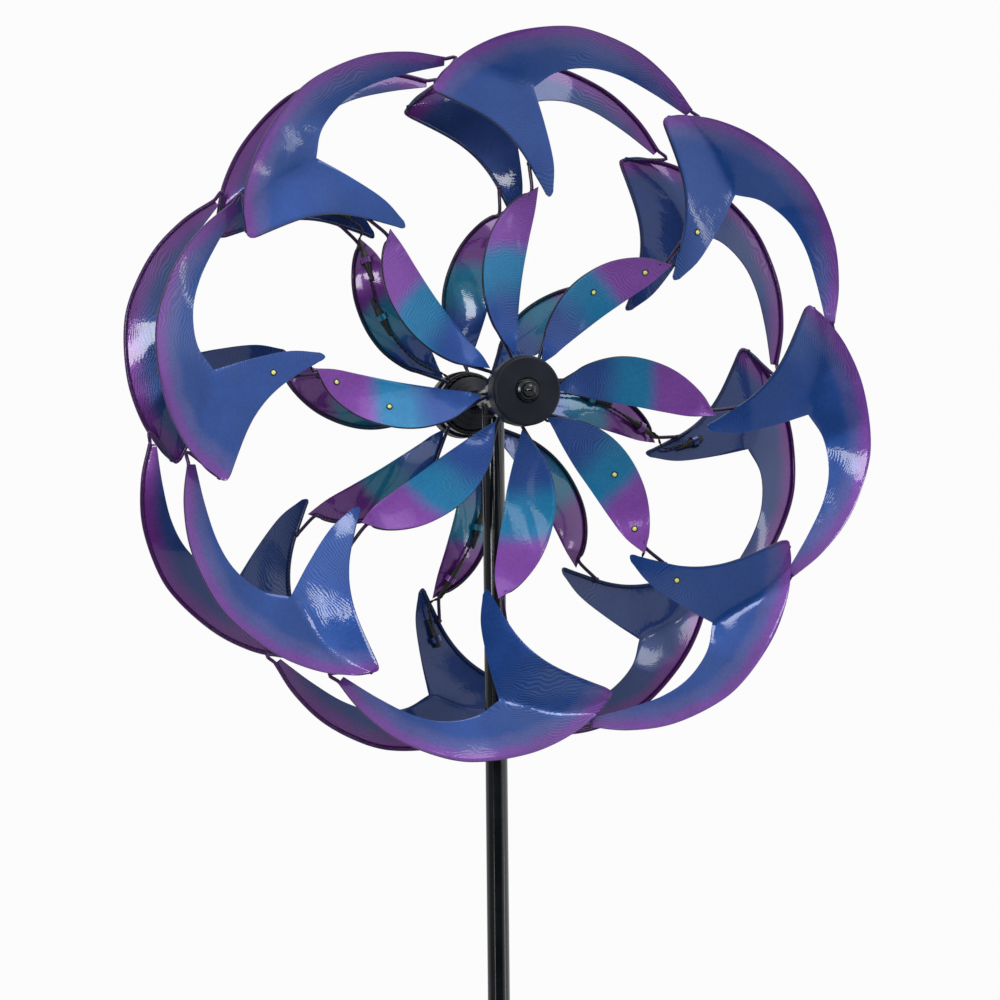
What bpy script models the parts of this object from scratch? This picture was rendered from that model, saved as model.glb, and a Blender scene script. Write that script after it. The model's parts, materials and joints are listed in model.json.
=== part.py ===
"""Kinetic wind sculpture: two eight-bladed rotors that turn opposite ways on one axle, on a garden pole.

The pole's axis is Z and the origin is where it meets the ground line. The axle lies along Y, with the
front rotor facing -Y. Both rotors show the same outline from the front, but the rear one is its mirror
image front to back, so the same wind turns it the other way.

Points on a rotor are (radius, clockwise angle seen from the front, set-back from the rotor's plane
towards the pole), in metres and degrees.
"""

import math

import bmesh
import bpy
from mathutils import Matrix, Vector

# Layout
AXLE_HEIGHT = 1.600
ROTOR_SPACING = 0.166
BLADES = 8
PHASE = {"front": 0.0, "rear": 5.0}
LIT_BLADES = {"front": (2, 4, 7), "rear": (3, 5, 8)}
TOWARDS_POLE = {"front": 1, "rear": -1}

# Sheet and wire
SHEET = 0.0015
ROD_RADIUS = 0.0015
LEAD_RADIUS = 0.0010
LOOM_RADIUS = 0.0012
GAP = 0.0003
ROD_INSET = 0.0026
ROD_DEPTH = 0.0032
WELD = (0.1840, 3.6, 0.0030)
TAIL_BEND = (0.2712, 34.8, 0.0030)

# Leaf: the inner blade of each spoke
LEAF_ROOT = (0.0300, -5.0, 0.0000)
LEAF_TIP = (0.1660, 6.3, -0.0005)
LEAF_CONVEX = (
    (0.0440, -17.0, -0.0015),
    (0.0620, -21.2, -0.0042),
    (0.0860, -19.3, -0.0045),
    (0.1090, -14.5, -0.0014),
    (0.1325, -8.1, 0.0025),
    (0.1520, -1.0, 0.0035),
)
LEAF_STRAIGHT = (
    (0.0420, 0.5, 0.0010),
    (0.0560, 2.6, 0.0095),
    (0.0780, 4.5, 0.0165),
    (0.1000, 5.5, 0.0175),
    (0.1260, 6.6, 0.0160),
    (0.1480, 7.1, 0.0110),
)
LEAF_CAMBER = 0.0020

# Blade: the outer, three-pointed one, with its horn, its head and its tail
HORN_CORNER = (0.1550, 10.2, 0.0000)
HEAD_CORNER = (0.2500, -17.2, -0.0156)
NOTCH = (0.2463, 3.9, 0.0066)
CREASE_END = (0.2640, -13.0, -0.0110)
FOLD_END = (0.2875, -1.2, -0.0100)
LEADING_EDGE = (
    (0.1640, 8.2, 0.0003),
    (0.1756, 5.2, -0.0002),
    (0.1938, 1.1, -0.0025),
    (0.2100, -3.2, -0.0060),
    (0.2245, -8.0, -0.0095),
    (0.2450, -15.3, -0.0142),
)
HEAD_EDGE = ((0.2540, -15.9, -0.0136), CREASE_END)
HORN_EDGE = ((0.1645, 10.8, 0.0008), (0.1880, 9.8, 0.0035), (0.2180, 6.7, 0.0055), NOTCH)
CREASE = (NOTCH, (0.2580, -4.6, -0.0011), CREASE_END)
CROWN_EDGE = (CREASE_END, (0.2765, -7.8, -0.0102), FOLD_END)
INNER_EDGE = (
    NOTCH,
    (0.2610, 8.0, 0.0066),
    (0.2695, 13.5, 0.0045),
    (0.2712, 19.0, 0.0036),
    (0.2690, 25.5, 0.0042),
    (0.2675, 32.6, 0.0042),
)
OUTER_EDGE = (
    FOLD_END,
    (0.2955, 6.5, -0.0098),
    (0.2975, 12.3, -0.0082),
    (0.2940, 20.0, -0.0047),
    (0.2850, 27.0, -0.0010),
    (0.2740, 32.9, 0.0016),
)

# LEDs: where each one sits on its panel, as fractions along and across it
LEAF_LEDS = ((0.52, 0.42), (0.83, 0.55))
BLADE_LED = (0.32, 0.50)
LED_RADIUS = 0.0020
LED_REACH = 0.0016
HOLDER_RADIUS = 0.0028
HOLDER_LENGTH = 0.014
HOLDER_SKEW = 11.0
TUNNEL_RADIUS = 0.0033
LED_HOLE_RADIUS = 0.0024
CLIP_WIDTH = 0.0100
CLIP_HEIGHT = 0.0075
CLIP_LENGTH = 0.0050

# Hubs, measured along the axle from the rotor's plane, positive away from the pole
HUB_RADIUS = 0.0280
HUB_WALL = 0.0025
NECK_RADIUS = 0.0220
CAP_RADIUS = 0.0270
CAP_FACE = 0.0300
CAP_BEVEL = 0.0008
CAP_BOSS_WALL = 0.0025
CAP_BOSS_END = 0.0180
CAP_RECESS = 0.0010
DRUM_FRONT = 0.0260
NECK_START = 0.0100
NECK_END = -0.0080
NECK_FLOOR = 0.0010
RING_OUTER = 0.0262
RING_BACK = -0.0050
BEARING_OUTER = 0.0110
BEARING_WIDTH = 0.0068
BEARING_LIP = 0.0020
COIL_INNER = 0.0150
COIL_DEPTH = 0.0048
MAGNET_RADIUS = 0.0180
MAGNET_FRONT = 0.0112
MAGNET_BACK = 0.0022
BELL_END = -0.0250
BELL_RIBS = 3
BELL_OPENING = 0.0070
BELL_WALL = 0.0030
NUT_FLANGE = 0.0092
NUT_FLANGE_EDGE = 0.0088
NUT_FLANGE_HEIGHT = 0.0022
NUT_DOME = 0.0062
NUT_DOME_BASE = 0.0048
AXLE_RADIUS = 0.0040
AXLE_END = 0.0345
COLLAR_RADIUS = 0.0060
COLLAR_WIDTH = 0.0030

# Head, pole and ground stake
TEE_RADIUS = 0.0100
TEE_HALF_LENGTH = 0.0200
TEE_BASE = -0.0140
TEE_OVERLAP = 0.0020
SPINDLE_RADIUS = 0.0050
SPINDLE_LENGTH = 0.0500
BUSH_FLANGE = 0.0015
POLE_RADIUS = 0.0090
POLE_WALL = 0.0015
SWAGE_LENGTH = 0.0500
POLE_JOINTS = (1.080, 0.560)
POLE_FOOT = 0.0060
SOCKET_RADIUS = 0.0120
SOCKET_HEIGHT = 0.1100
FOOT_LENGTH = 0.1900
FOOT_WIDTH = 0.0360
FOOT_THICKNESS = 0.0040
PRONG_RADIUS = 0.0050
PRONG_LENGTH = 0.2400
PRONG_TAPER = 0.0300
PRONG_PLACES = (-0.0850, -0.0300, 0.0300, 0.0850)
PRONG_POINT_RADIUS = 0.0008
SCREW_HEIGHT = 0.0850
SCREW_RADIUS = 0.0030
SCREW_HEAD_RADIUS = 0.0070
SCREW_HEAD_LENGTH = 0.0080

# Facets round a turned or drilled shape
ROUND_STEPS = 20
SMALL_STEPS = 12
FINE_STEPS = 8
LENS_STEPS = 6
LOOM_TURNS = 16
LOOM_SIDES = 6

PARTS = "kinetic_wind_sculpture"
HELPERS = "cutters_and_guides"


# ---------------------------------------------------------------- scene, materials and objects


def clear_scene():
    for obj in list(bpy.data.objects):
        bpy.data.objects.remove(obj, do_unlink=True)
    for name in (PARTS, HELPERS):
        bpy.context.scene.collection.children.link(bpy.data.collections.new(name))
    bpy.data.collections[HELPERS].hide_render = True


def material(name, colour, roughness, metallic):
    found = bpy.data.materials.get(name)
    if found:
        return found
    made = bpy.data.materials.new(name)
    made.use_nodes = True
    shader = made.node_tree.nodes["Principled BSDF"]
    shader.inputs["Base Color"].default_value = (*colour, 1.0)
    shader.inputs["Roughness"].default_value = roughness
    shader.inputs["Metallic"].default_value = metallic
    return made


def leaf_enamel():
    return material("leaf_enamel", (0.045, 0.190, 0.300), 0.25, 0.6)


def blade_enamel():
    return material("blade_enamel", (0.050, 0.080, 0.260), 0.25, 0.6)


def rod_enamel():
    return material("rod_enamel", (0.025, 0.020, 0.060), 0.35, 0.4)


def black_enamel():
    return material("black_enamel", (0.008, 0.008, 0.010), 0.15, 0.2)


def matt_black():
    return material("matt_black", (0.018, 0.018, 0.022), 0.55, 0.0)


def bare_steel():
    return material("bare_steel", (0.55, 0.55, 0.56), 0.30, 1.0)


def copper_winding():
    return material("copper_winding", (0.60, 0.25, 0.10), 0.40, 1.0)


def magnet_ferrite():
    return material("magnet_ferrite", (0.05, 0.05, 0.05), 0.50, 0.2)


def black_rubber():
    return material("black_rubber", (0.010, 0.010, 0.011), 0.60, 0.0)


def bush_nylon():
    return material("bush_nylon", (0.70, 0.69, 0.65), 0.50, 0.0)


def add_object(name, mesh, finish, parent=None, location=(0, 0, 0), rotation=(0, 0, 0)):
    obj = bpy.data.objects.new(name, mesh)
    obj.location = location
    obj.rotation_euler = rotation
    obj.parent = parent
    if not mesh.materials:
        mesh.materials.append(finish)
    bpy.data.collections[PARTS].objects.link(obj)
    return obj


def add_helper(name, mesh):
    obj = bpy.data.objects.new(name, mesh)
    obj.hide_render = True
    obj.display_type = "WIRE"
    bpy.data.collections[HELPERS].objects.link(obj)
    return obj


def add_axis(name, location):
    empty = bpy.data.objects.new(name, None)
    empty.location = location
    bpy.data.collections[PARTS].objects.link(empty)
    return empty


def boolean(obj, operation, other):
    modifier = obj.modifiers.new(operation.title(), "BOOLEAN")
    modifier.operation = operation
    modifier.solver = "EXACT"
    modifier.object = other


# ---------------------------------------------------------------- curves and panels


def polar(point):
    radius, angle, setback = point
    turn = math.radians(angle)
    return Vector((radius * math.sin(turn), setback, radius * math.cos(turn)))


def spline(points, segments):
    """Catmull-Rom curve through the points, cut into equal lengths."""
    knots = [polar(p) if isinstance(p, tuple) else p for p in points]
    knots = [2 * knots[0] - knots[1], *knots, 2 * knots[-1] - knots[-2]]
    dense = []
    for a, b, c, d in zip(knots, knots[1:], knots[2:], knots[3:]):
        for i in range(16):
            t = i / 16
            dense.append(
                0.5 * (2 * b + (c - a) * t + (2 * a - 5 * b + 4 * c - d) * t * t
                       + (3 * b - a - 3 * c + d) * t ** 3)
            )
    dense.append(knots[-2])
    lengths = [0.0]
    for p, q in zip(dense, dense[1:]):
        lengths.append(lengths[-1] + (q - p).length)
    result = []
    at = 0
    for i in range(segments + 1):
        wanted = lengths[-1] * i / segments
        while at < len(dense) - 2 and lengths[at + 1] < wanted:
            at += 1
        share = (wanted - lengths[at]) / (lengths[at + 1] - lengths[at])
        result.append(dense[at].lerp(dense[at + 1], min(share, 1.0)))
    return result


def corner(before, point, after):
    """The middle of a round corner between two neighbouring points."""
    return (before + 2 * polar(point) + after) / 4


class Panel:
    """A sheet between two rails of equally many points, bulged by camber towards the pole."""

    def __init__(self, rail_a, rail_b, camber=0.0):
        self.rails = (rail_a, rail_b)
        self.stations = len(rail_a) - 1
        self.camber = camber

    def edge(self, rail, along):
        place = min(max(along, 0.0), 1.0) * self.stations
        i = min(int(place), self.stations - 1)
        return self.rails[rail][i].lerp(self.rails[rail][i + 1], place - i)

    def point(self, along, across):
        a = self.edge(0, along)
        b = self.edge(1, along)
        bulge = self.camber * math.sin(math.pi * along) * 4 * across * (1 - across)
        return a.lerp(b, across) + Vector((0, bulge, 0))

    def normal(self, along, across):
        """Unit normal on the pole side."""
        step = 0.02
        low = min(max(along, 0.05), 0.95)
        run = self.point(low + step, across) - self.point(low - step, across)
        width = self.point(low, across + step) - self.point(low, across - step)
        normal = run.cross(width).normalized()
        return normal if normal.y > 0 else -normal

    def behind(self, along, across, depth):
        return self.point(along, across) + self.normal(along, across) * depth

    def inset(self, rail, along, distance, depth):
        """A point behind the sheet, at a distance in from one rail."""
        width = (self.edge(1, along) - self.edge(0, along)).length
        share = min(distance / max(width, 1e-6), 0.5)
        return self.behind(along, share if rail == 0 else 1 - share, depth)


def leaf_panel(stations=8):
    root = polar(LEAF_ROOT)
    tip = polar(LEAF_TIP)
    return Panel(
        spline([root, *map(polar, LEAF_CONVEX), tip], stations),
        spline([root, *map(polar, LEAF_STRAIGHT), tip], stations),
        LEAF_CAMBER,
    )


def blade_panels():
    """Horn panel, crown panel and tail panel of one blade."""
    leading = spline(LEADING_EDGE, 6)
    head = spline(HEAD_EDGE, 1)
    horn = spline(HORN_EDGE, 5)
    crease = spline(CREASE, 4)
    horn_tip = corner(leading[0], HORN_CORNER, horn[0])
    head_tip = corner(leading[-1], HEAD_CORNER, head[0])
    horn_panel = Panel([horn_tip, *leading, head_tip, *head], [horn_tip, *horn, *crease[1:]])
    crown_panel = Panel(crease[::-1], spline(CROWN_EDGE, 4))
    tail_panel = Panel(spline(INNER_EDGE, 8), spline(OUTER_EDGE, 8))
    return horn_panel, crown_panel, tail_panel


def sheet_mesh(name, panels, across, mirror):
    mesh = bpy.data.meshes.new(name)
    model = bmesh.new()
    for panel in panels:
        rows = []
        for i in range(panel.stations + 1):
            row = []
            for j in range(across + 1):
                place = panel.point(i / panel.stations, j / across)
                row.append(model.verts.new((place.x, place.y * mirror, place.z)))
            rows.append(row)
        for lower, upper in zip(rows, rows[1:]):
            for j in range(across):
                model.faces.new((lower[j], lower[j + 1], upper[j + 1], upper[j]))
    bmesh.ops.remove_doubles(model, verts=model.verts, dist=1e-5)
    bmesh.ops.recalc_face_normals(model, faces=model.faces)
    model.to_mesh(mesh)
    model.free()
    return mesh


def solidify(obj):
    modifier = obj.modifiers.new("Solidify", "SOLIDIFY")
    modifier.thickness = SHEET
    modifier.offset = 0.0
    modifier.use_even_offset = True


# ---------------------------------------------------------------- solids


def turned_mesh(name, profile, ring):
    """A mesh of profile points (radius, height), which a Screw modifier turns about Z."""
    mesh = bpy.data.meshes.new(name)
    edges = [(i, i + 1) for i in range(len(profile) - 1)]
    if ring:
        edges.append((len(profile) - 1, 0))
    mesh.from_pydata([(radius, 0, height) for radius, height in profile], edges, [])
    return mesh


def turn(obj, steps):
    screw = obj.modifiers.new("Screw", "SCREW")
    screw.axis = "Z"
    screw.steps = steps
    screw.render_steps = steps
    screw.use_merge_vertices = True
    screw.merge_threshold = 1e-5
    screw.use_smooth_shade = True


def turned(
    name,
    profile,
    finish,
    parent=None,
    location=(0, 0, 0),
    rotation=(0, 0, 0),
    steps=ROUND_STEPS,
    ring=True,
):
    obj = add_object(name, turned_mesh(name, profile, ring), finish, parent, location, rotation)
    turn(obj, steps)
    return obj


def primitive_mesh(name, build, matrix, rounded):
    model = bmesh.new()
    build(model)
    bmesh.ops.transform(model, matrix=matrix, verts=model.verts)
    for face in model.faces:
        face.smooth = rounded and len(face.verts) == 4
    mesh = bpy.data.meshes.new(name)
    model.to_mesh(mesh)
    model.free()
    return mesh


def rod_mesh(name, radius, length, matrix, segments, end_radius=None):
    """A cylinder or a cone along local Z, centred."""

    def build(model):
        bmesh.ops.create_cone(
            model,
            cap_ends=True,
            segments=segments,
            radius1=radius,
            radius2=radius if end_radius is None else end_radius,
            depth=length,
        )

    return primitive_mesh(name, build, matrix, True)


def box_mesh(name, size, matrix):
    def build(model):
        bmesh.ops.create_cube(model, size=1.0)
        bmesh.ops.scale(model, vec=size, verts=model.verts)

    return primitive_mesh(name, build, matrix, False)


def wire_mesh(name, points, radius, sides_level):
    """A closed tube through the points, as a mesh with its caps welded on."""
    curve = bpy.data.curves.new(name, "CURVE")
    curve.dimensions = "3D"
    curve.bevel_depth = radius
    curve.bevel_resolution = sides_level
    curve.use_fill_caps = True
    line = curve.splines.new("POLY")
    line.points.add(len(points) - 1)
    for point, place in zip(line.points, points):
        point.co = (*place, 1.0)
    guide = add_helper(name, curve)
    bpy.context.view_layer.update()
    graph = bpy.context.evaluated_depsgraph_get()
    mesh = bpy.data.meshes.new_from_object(guide.evaluated_get(graph))
    mesh.transform(guide.matrix_world)
    bpy.data.objects.remove(guide, do_unlink=True)
    model = bmesh.new()
    model.from_mesh(mesh)
    bmesh.ops.remove_doubles(model, verts=model.verts, dist=1e-6)
    bmesh.ops.recalc_face_normals(model, faces=model.faces)
    for face in model.faces:
        face.smooth = len(face.verts) == 4
    model.to_mesh(mesh)
    model.free()
    return mesh


def spun(points, angle, mirror):
    """Points turned clockwise about the axle, and mirrored front to back for the rear rotor."""
    turn_matrix = Matrix.Rotation(math.radians(angle), 3, "Y")
    return [turn_matrix @ Vector((p.x, p.y * mirror, p.z)) for p in points]


# ---------------------------------------------------------------- leaves, blades and their LEDs


def led_places():
    """(panel, along, across, direction along the lead) of the LEDs of one lit spoke, hub to rim."""
    leaf = leaf_panel()
    horn_panel = blade_panels()[0]
    places = [(leaf, along, across) for along, across in LEAF_LEDS]
    places.append((horn_panel, *BLADE_LED))
    found = []
    for panel, along, across in places:
        run = panel.point(along + 0.05, across) - panel.point(along - 0.05, across)
        found.append((panel, along, across, run.normalized()))
    return found


def led_frame(panel, along, across, direction, depth, mirror):
    """Matrix with Z along the lead and Y along the sheet's normal, at a depth behind the sheet."""
    normal = panel.normal(along, across)
    lengthwise = (direction - direction.dot(normal) * normal).normalized()
    sideways = normal.cross(lengthwise)
    place = panel.behind(along, across, depth)
    columns = []
    for vector in (sideways, normal, lengthwise, place):
        columns.append(Vector((vector.x, vector.y * mirror, vector.z)))
    return Matrix(
        [[columns[c][r] for c in range(4)] for r in range(3)] + [[0, 0, 0, 1]]
    )


def holder_depth():
    return SHEET / 2 + GAP + HOLDER_RADIUS


def facing_out(mesh):
    model = bmesh.new()
    model.from_mesh(mesh)
    bmesh.ops.recalc_face_normals(model, faces=model.faces)
    model.to_mesh(mesh)
    model.free()
    return mesh


def fit_leds(obj, places, mirror):
    """A painted clip over each LED holder, and the hole that the LED looks through."""
    upright = Matrix.Rotation(math.radians(90), 4, "X")
    for i, (panel, along, across, direction) in enumerate(places):
        name = f"{obj.name}_led_{i}"
        depth = CLIP_HEIGHT / 2 + SHEET / 4
        clip_frame = led_frame(panel, along, across, direction, depth, mirror)
        size = (CLIP_WIDTH, CLIP_HEIGHT, CLIP_LENGTH)
        clip = add_helper(f"{name}_clip", facing_out(box_mesh(f"{name}_clip", size, clip_frame)))
        frame = led_frame(panel, along, across, direction, holder_depth(), mirror)
        tunnel = rod_mesh(
            f"{name}_tunnel", TUNNEL_RADIUS, 3 * CLIP_LENGTH, frame, FINE_STEPS
        )
        tunnel_cut = add_helper(f"{name}_tunnel", facing_out(tunnel))
        slot_frame = led_frame(panel, along, across, direction, SHEET / 2 + HOLDER_RADIUS / 2, mirror)
        slot_size = (2 * TUNNEL_RADIUS, HOLDER_RADIUS, 3 * CLIP_LENGTH)
        slot = add_helper(f"{name}_slot", facing_out(box_mesh(f"{name}_slot", slot_size, slot_frame)))
        boolean(clip, "DIFFERENCE", tunnel_cut)
        boolean(clip, "DIFFERENCE", slot)
        boolean(obj, "UNION", clip)
        hole_frame = led_frame(panel, along, across, direction, 0.0, mirror) @ upright
        hole = rod_mesh(f"{name}_hole", LED_HOLE_RADIUS, 3 * SHEET, hole_frame, FINE_STEPS)
        boolean(obj, "DIFFERENCE", add_helper(f"{name}_hole", facing_out(hole)))


def add_spokes(side, axis):
    """The leaves and blades of one rotor, each turned about the axle from the first."""
    mirror = TOWARDS_POLE[side]
    places = led_places()
    meshes = {
        "leaf": sheet_mesh(f"{side}_leaf", [leaf_panel()], 2, mirror),
        "blade": sheet_mesh(f"{side}_blade", blade_panels(), 1, mirror),
    }
    finishes = {"leaf": leaf_enamel(), "blade": blade_enamel()}
    fitted = {"leaf": places[:2], "blade": places[2:]}
    for number in range(1, BLADES + 1):
        angle = math.radians(PHASE[side] + (number - 1) * 360 / BLADES)
        for kind, mesh in meshes.items():
            obj = add_object(f"{side}_{kind}_{number}", mesh, finishes[kind], axis, rotation=(0, angle, 0))
            solidify(obj)
            if number in LIT_BLADES[side]:
                turn_led_helpers(obj, fitted[kind], mirror, angle, axis)


def turn_led_helpers(obj, places, mirror, angle, axis):
    before = set(bpy.data.objects)
    fit_leds(obj, places, mirror)
    for helper in set(bpy.data.objects) - before:
        helper.parent = axis
        helper.rotation_euler = (0, angle, 0)


def spoke_rod(blade):
    """Centre line of the rod behind a leaf's convex edge, from the spoke ring to the blade's rod."""
    leaf = leaf_panel()
    points = [polar((NECK_RADIUS + 0.0022, -8.0, ROD_DEPTH))]
    for i in range(1, leaf.stations):
        points.append(leaf.inset(0, i / leaf.stations, ROD_INSET, ROD_DEPTH))
    points.append(nearest(blade, polar(WELD)))
    return points


def blade_rod():
    """Centre line of the rod behind a blade's leading and outer edges, round the head corner."""
    horn_panel, crown_panel, tail_panel = blade_panels()
    points = []
    for i in (1, 3, 5, 7, 8, 9):
        points.append(horn_panel.inset(0, i / horn_panel.stations, ROD_INSET, ROD_DEPTH))
    ridge = crown_panel.edge(0, 0.06)
    across = horn_panel.normal(0.95, 0.5) + crown_panel.normal(0.3, 0.5)
    points.append(ridge + across.normalized() * (ROD_DEPTH + ROD_RADIUS / 2))
    for i in (2, 4):
        points.append(crown_panel.inset(1, i / crown_panel.stations, ROD_INSET, ROD_DEPTH))
    for i in (2, 4, 6, 8):
        points.append(tail_panel.inset(1, i / tail_panel.stations, ROD_INSET, ROD_DEPTH))
    return points


def nearest(points, place):
    return min(points, key=lambda p: (p - place).length)


def add_frame(side, axis):
    """The welded frame of one rotor: eight spoke rods, eight blade rods and the ring round the hub."""
    mirror = TOWARDS_POLE[side]
    inner = NECK_RADIUS + GAP
    top = NECK_START - GAP
    profile = [(RING_OUTER, top), (RING_OUTER, RING_BACK), (inner, RING_BACK), (inner, top)]
    frame = turned(f"{side}_spoke_frame", profile, rod_enamel(), axis, rotation=outward(side))
    blade = blade_rod()
    spoke = spoke_rod(blade)
    past_tail = polar(TAIL_BEND)
    blade += [past_tail, nearest(spun(blade, 360 / BLADES, 1), past_tail)]
    back = Matrix.Rotation(outward(side)[0], 4, "X").inverted()
    for number in range(1, BLADES + 1):
        angle = PHASE[side] + (number - 1) * 360 / BLADES
        for kind, line in (("spoke", spoke), ("blade", blade)):
            name = f"{side}_{kind}_rod_{number}"
            mesh = wire_mesh(name, spun(line, angle, mirror), ROD_RADIUS, 1)
            mesh.transform(back)
            helper = add_helper(name, mesh)
            helper.parent = axis
            helper.rotation_euler = outward(side)
            boolean(frame, "UNION", helper)


def loom_mesh(name, mirror, radius, setback):
    """The ring of lead behind the hub."""
    mesh = bpy.data.meshes.new(name)
    model = bmesh.new()
    rows = []
    for i in range(LOOM_TURNS):
        row = []
        for j in range(LOOM_SIDES):
            swing = 2 * math.pi * (j + 0.5) / LOOM_SIDES
            place = polar((
                radius + LOOM_RADIUS * math.cos(swing),
                i * 360 / LOOM_TURNS,
                setback + LOOM_RADIUS * math.sin(swing),
            ))
            row.append(model.verts.new((place.x, place.y * mirror, place.z)))
        rows.append(row)
    for i, near in enumerate(rows):
        far = rows[(i + 1) % LOOM_TURNS]
        for j in range(LOOM_SIDES):
            k = (j + 1) % LOOM_SIDES
            model.faces.new((near[j], near[k], far[k], far[j]))
    bmesh.ops.recalc_face_normals(model, faces=model.faces)
    model.to_mesh(mesh)
    model.free()
    return mesh


def lead_line(loom_radius, loom_setback):
    """Centre line of the lead of one lit spoke, from the loom ring through its three LED holders."""
    (leaf, *led_a), (_, *led_b), (horn_panel, *led_c) = [place[:3] for place in led_places()]
    deep = holder_depth()
    return [
        polar((loom_radius, -3.0, loom_setback)),
        polar((0.0330, -3.5, loom_setback + LOOM_RADIUS)),
        leaf.behind(0.20, 0.45, deep),
        leaf.behind(0.36, 0.43, deep),
        leaf.behind(*led_a, deep),
        leaf.behind(0.68, 0.50, deep),
        leaf.behind(*led_b, deep),
        leaf.behind(0.93, 0.50, 2.2 * deep),
        horn_panel.behind(0.16, 0.45, 2.0 * deep),
        horn_panel.behind(*led_c, deep),
    ]


def holder_meshes(name, place, spin, mirror):
    """The holder of one LED, lying along the lead, and the lens that looks through the sheet."""
    upright = Matrix.Rotation(math.radians(90), 4, "X")
    skew = Matrix.Rotation(math.radians(HOLDER_SKEW), 4, "Z")
    deep = holder_depth()
    root = deep - LEAD_RADIUS / 2
    at = led_frame(*place, deep, mirror)
    holder = rod_mesh(f"{name}_holder", HOLDER_RADIUS, HOLDER_LENGTH, spin @ at @ skew, FINE_STEPS)
    at = led_frame(*place, (root - LED_REACH) / 2, mirror) @ upright
    lens = rod_mesh(f"{name}_lens", LED_RADIUS, root + LED_REACH, spin @ at @ skew, LENS_STEPS)
    return facing_out(holder), facing_out(lens)


def add_led_string(side, axis):
    """The loom ring behind the hub, a lead along each lit spoke, and its LEDs in their holders."""
    mirror = TOWARDS_POLE[side]
    name = f"{side}_led_string"
    setback = GAP + LOOM_RADIUS - RING_BACK
    radius = NECK_RADIUS + 2 * GAP + LOOM_RADIUS
    string = add_object(name, loom_mesh(name, mirror, radius, setback), black_rubber(), axis)
    lead = lead_line(radius, setback)
    for number in LIT_BLADES[side]:
        angle = PHASE[side] + (number - 1) * 360 / BLADES
        spin = Matrix.Rotation(math.radians(angle), 4, "Y")
        pieces = [wire_mesh(f"{name}_{number}_lead", spun(lead, angle, mirror), LEAD_RADIUS, 1)]
        for i, place in enumerate(led_places()):
            pieces += holder_meshes(f"{name}_{number}_{i}", place, spin, mirror)
        for mesh in pieces:
            helper = add_helper(mesh.name, mesh)
            helper.parent = axis
            boolean(string, "UNION", helper)


# ---------------------------------------------------------------- hubs and axle


def outward(side):
    """Rotation that puts a turned part's Z axis along the axle, away from the pole."""
    return (math.radians(90) * TOWARDS_POLE[side], 0, 0)


def add_hub(side, axis, head):
    """The drum, cap, bell, bearings and coil that turn, and the magnet and nut fixed on the axle."""
    add_drum_and_cap(side, axis)
    add_bearings_and_coil(side, axis)
    add_bell(side, axis)
    add_magnet_and_nut(side, head)


def add_drum_and_cap(side, axis):
    seat = BEARING_OUTER + GAP
    lip = seat - BEARING_LIP
    cavity = HUB_RADIUS - HUB_WALL
    cavity_floor = NECK_START + HUB_WALL
    seat_floor = NECK_END + BEARING_WIDTH + GAP
    drum = [
        (HUB_RADIUS, DRUM_FRONT),
        (HUB_RADIUS, NECK_START),
        (NECK_RADIUS, NECK_START),
        (NECK_RADIUS, NECK_END),
        (seat, NECK_END),
        (seat, seat_floor),
        (lip, seat_floor),
        (lip, NECK_FLOOR),
        (NECK_RADIUS - HUB_WALL, NECK_FLOOR),
        (NECK_RADIUS - HUB_WALL, cavity_floor),
        (cavity, cavity_floor),
        (cavity, DRUM_FRONT),
    ]
    turned(f"{side}_hub_drum", drum, matt_black(), axis, rotation=outward(side))
    cap_back = DRUM_FRONT + GAP
    boss = seat + CAP_BOSS_WALL
    opening = seat - BEARING_LIP
    cap = [
        (opening, CAP_FACE),
        (CAP_RADIUS - CAP_BEVEL, CAP_FACE),
        (CAP_RADIUS, CAP_FACE - CAP_BEVEL),
        (CAP_RADIUS, cap_back),
        (boss, cap_back),
        (boss, CAP_BOSS_END),
        (seat, CAP_BOSS_END),
        (seat, cap_back - CAP_RECESS),
        (opening, cap_back - CAP_RECESS),
    ]
    turned(f"{side}_hub_cap", cap, matt_black(), axis, rotation=outward(side))


def add_bearings_and_coil(side, axis):
    bore = AXLE_RADIUS + GAP
    for place, low in (("outer", CAP_BOSS_END + GAP), ("inner", NECK_END)):
        high = low + BEARING_WIDTH
        race = [(BEARING_OUTER, high), (BEARING_OUTER, low), (bore, low), (bore, high)]
        turned(
            f"{side}_{place}_bearing", race, bare_steel(), axis, rotation=outward(side), steps=SMALL_STEPS
        )
    outer = HUB_RADIUS - HUB_WALL - GAP
    low = NECK_START + HUB_WALL + GAP
    high = low + COIL_DEPTH
    coil = [(outer, high), (outer, low), (COIL_INNER, low), (COIL_INNER, high)]
    turned(f"{side}_coil_ring", coil, copper_winding(), axis, rotation=outward(side))


def add_bell(side, axis):
    """The ribbed cover that tapers from the neck down to the axle."""
    start = NECK_END - GAP
    step_down = (start - BELL_END) / BELL_RIBS
    step_in = (NECK_RADIUS - BELL_OPENING - BELL_WALL) / BELL_RIBS
    bell = []
    for rib in range(BELL_RIBS):
        radius = NECK_RADIUS - rib * step_in
        height = start - rib * step_down
        bell += [(radius, height), (radius, height - 0.6 * step_down)]
        bell.append((radius - step_in, height - step_down))
    bell += [
        (BELL_OPENING, BELL_END),
        (BELL_OPENING, BELL_END + BELL_WALL),
        (NECK_RADIUS - BELL_WALL, start),
    ]
    turned(f"{side}_hub_bell", bell, black_enamel(), axis, rotation=outward(side))


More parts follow.
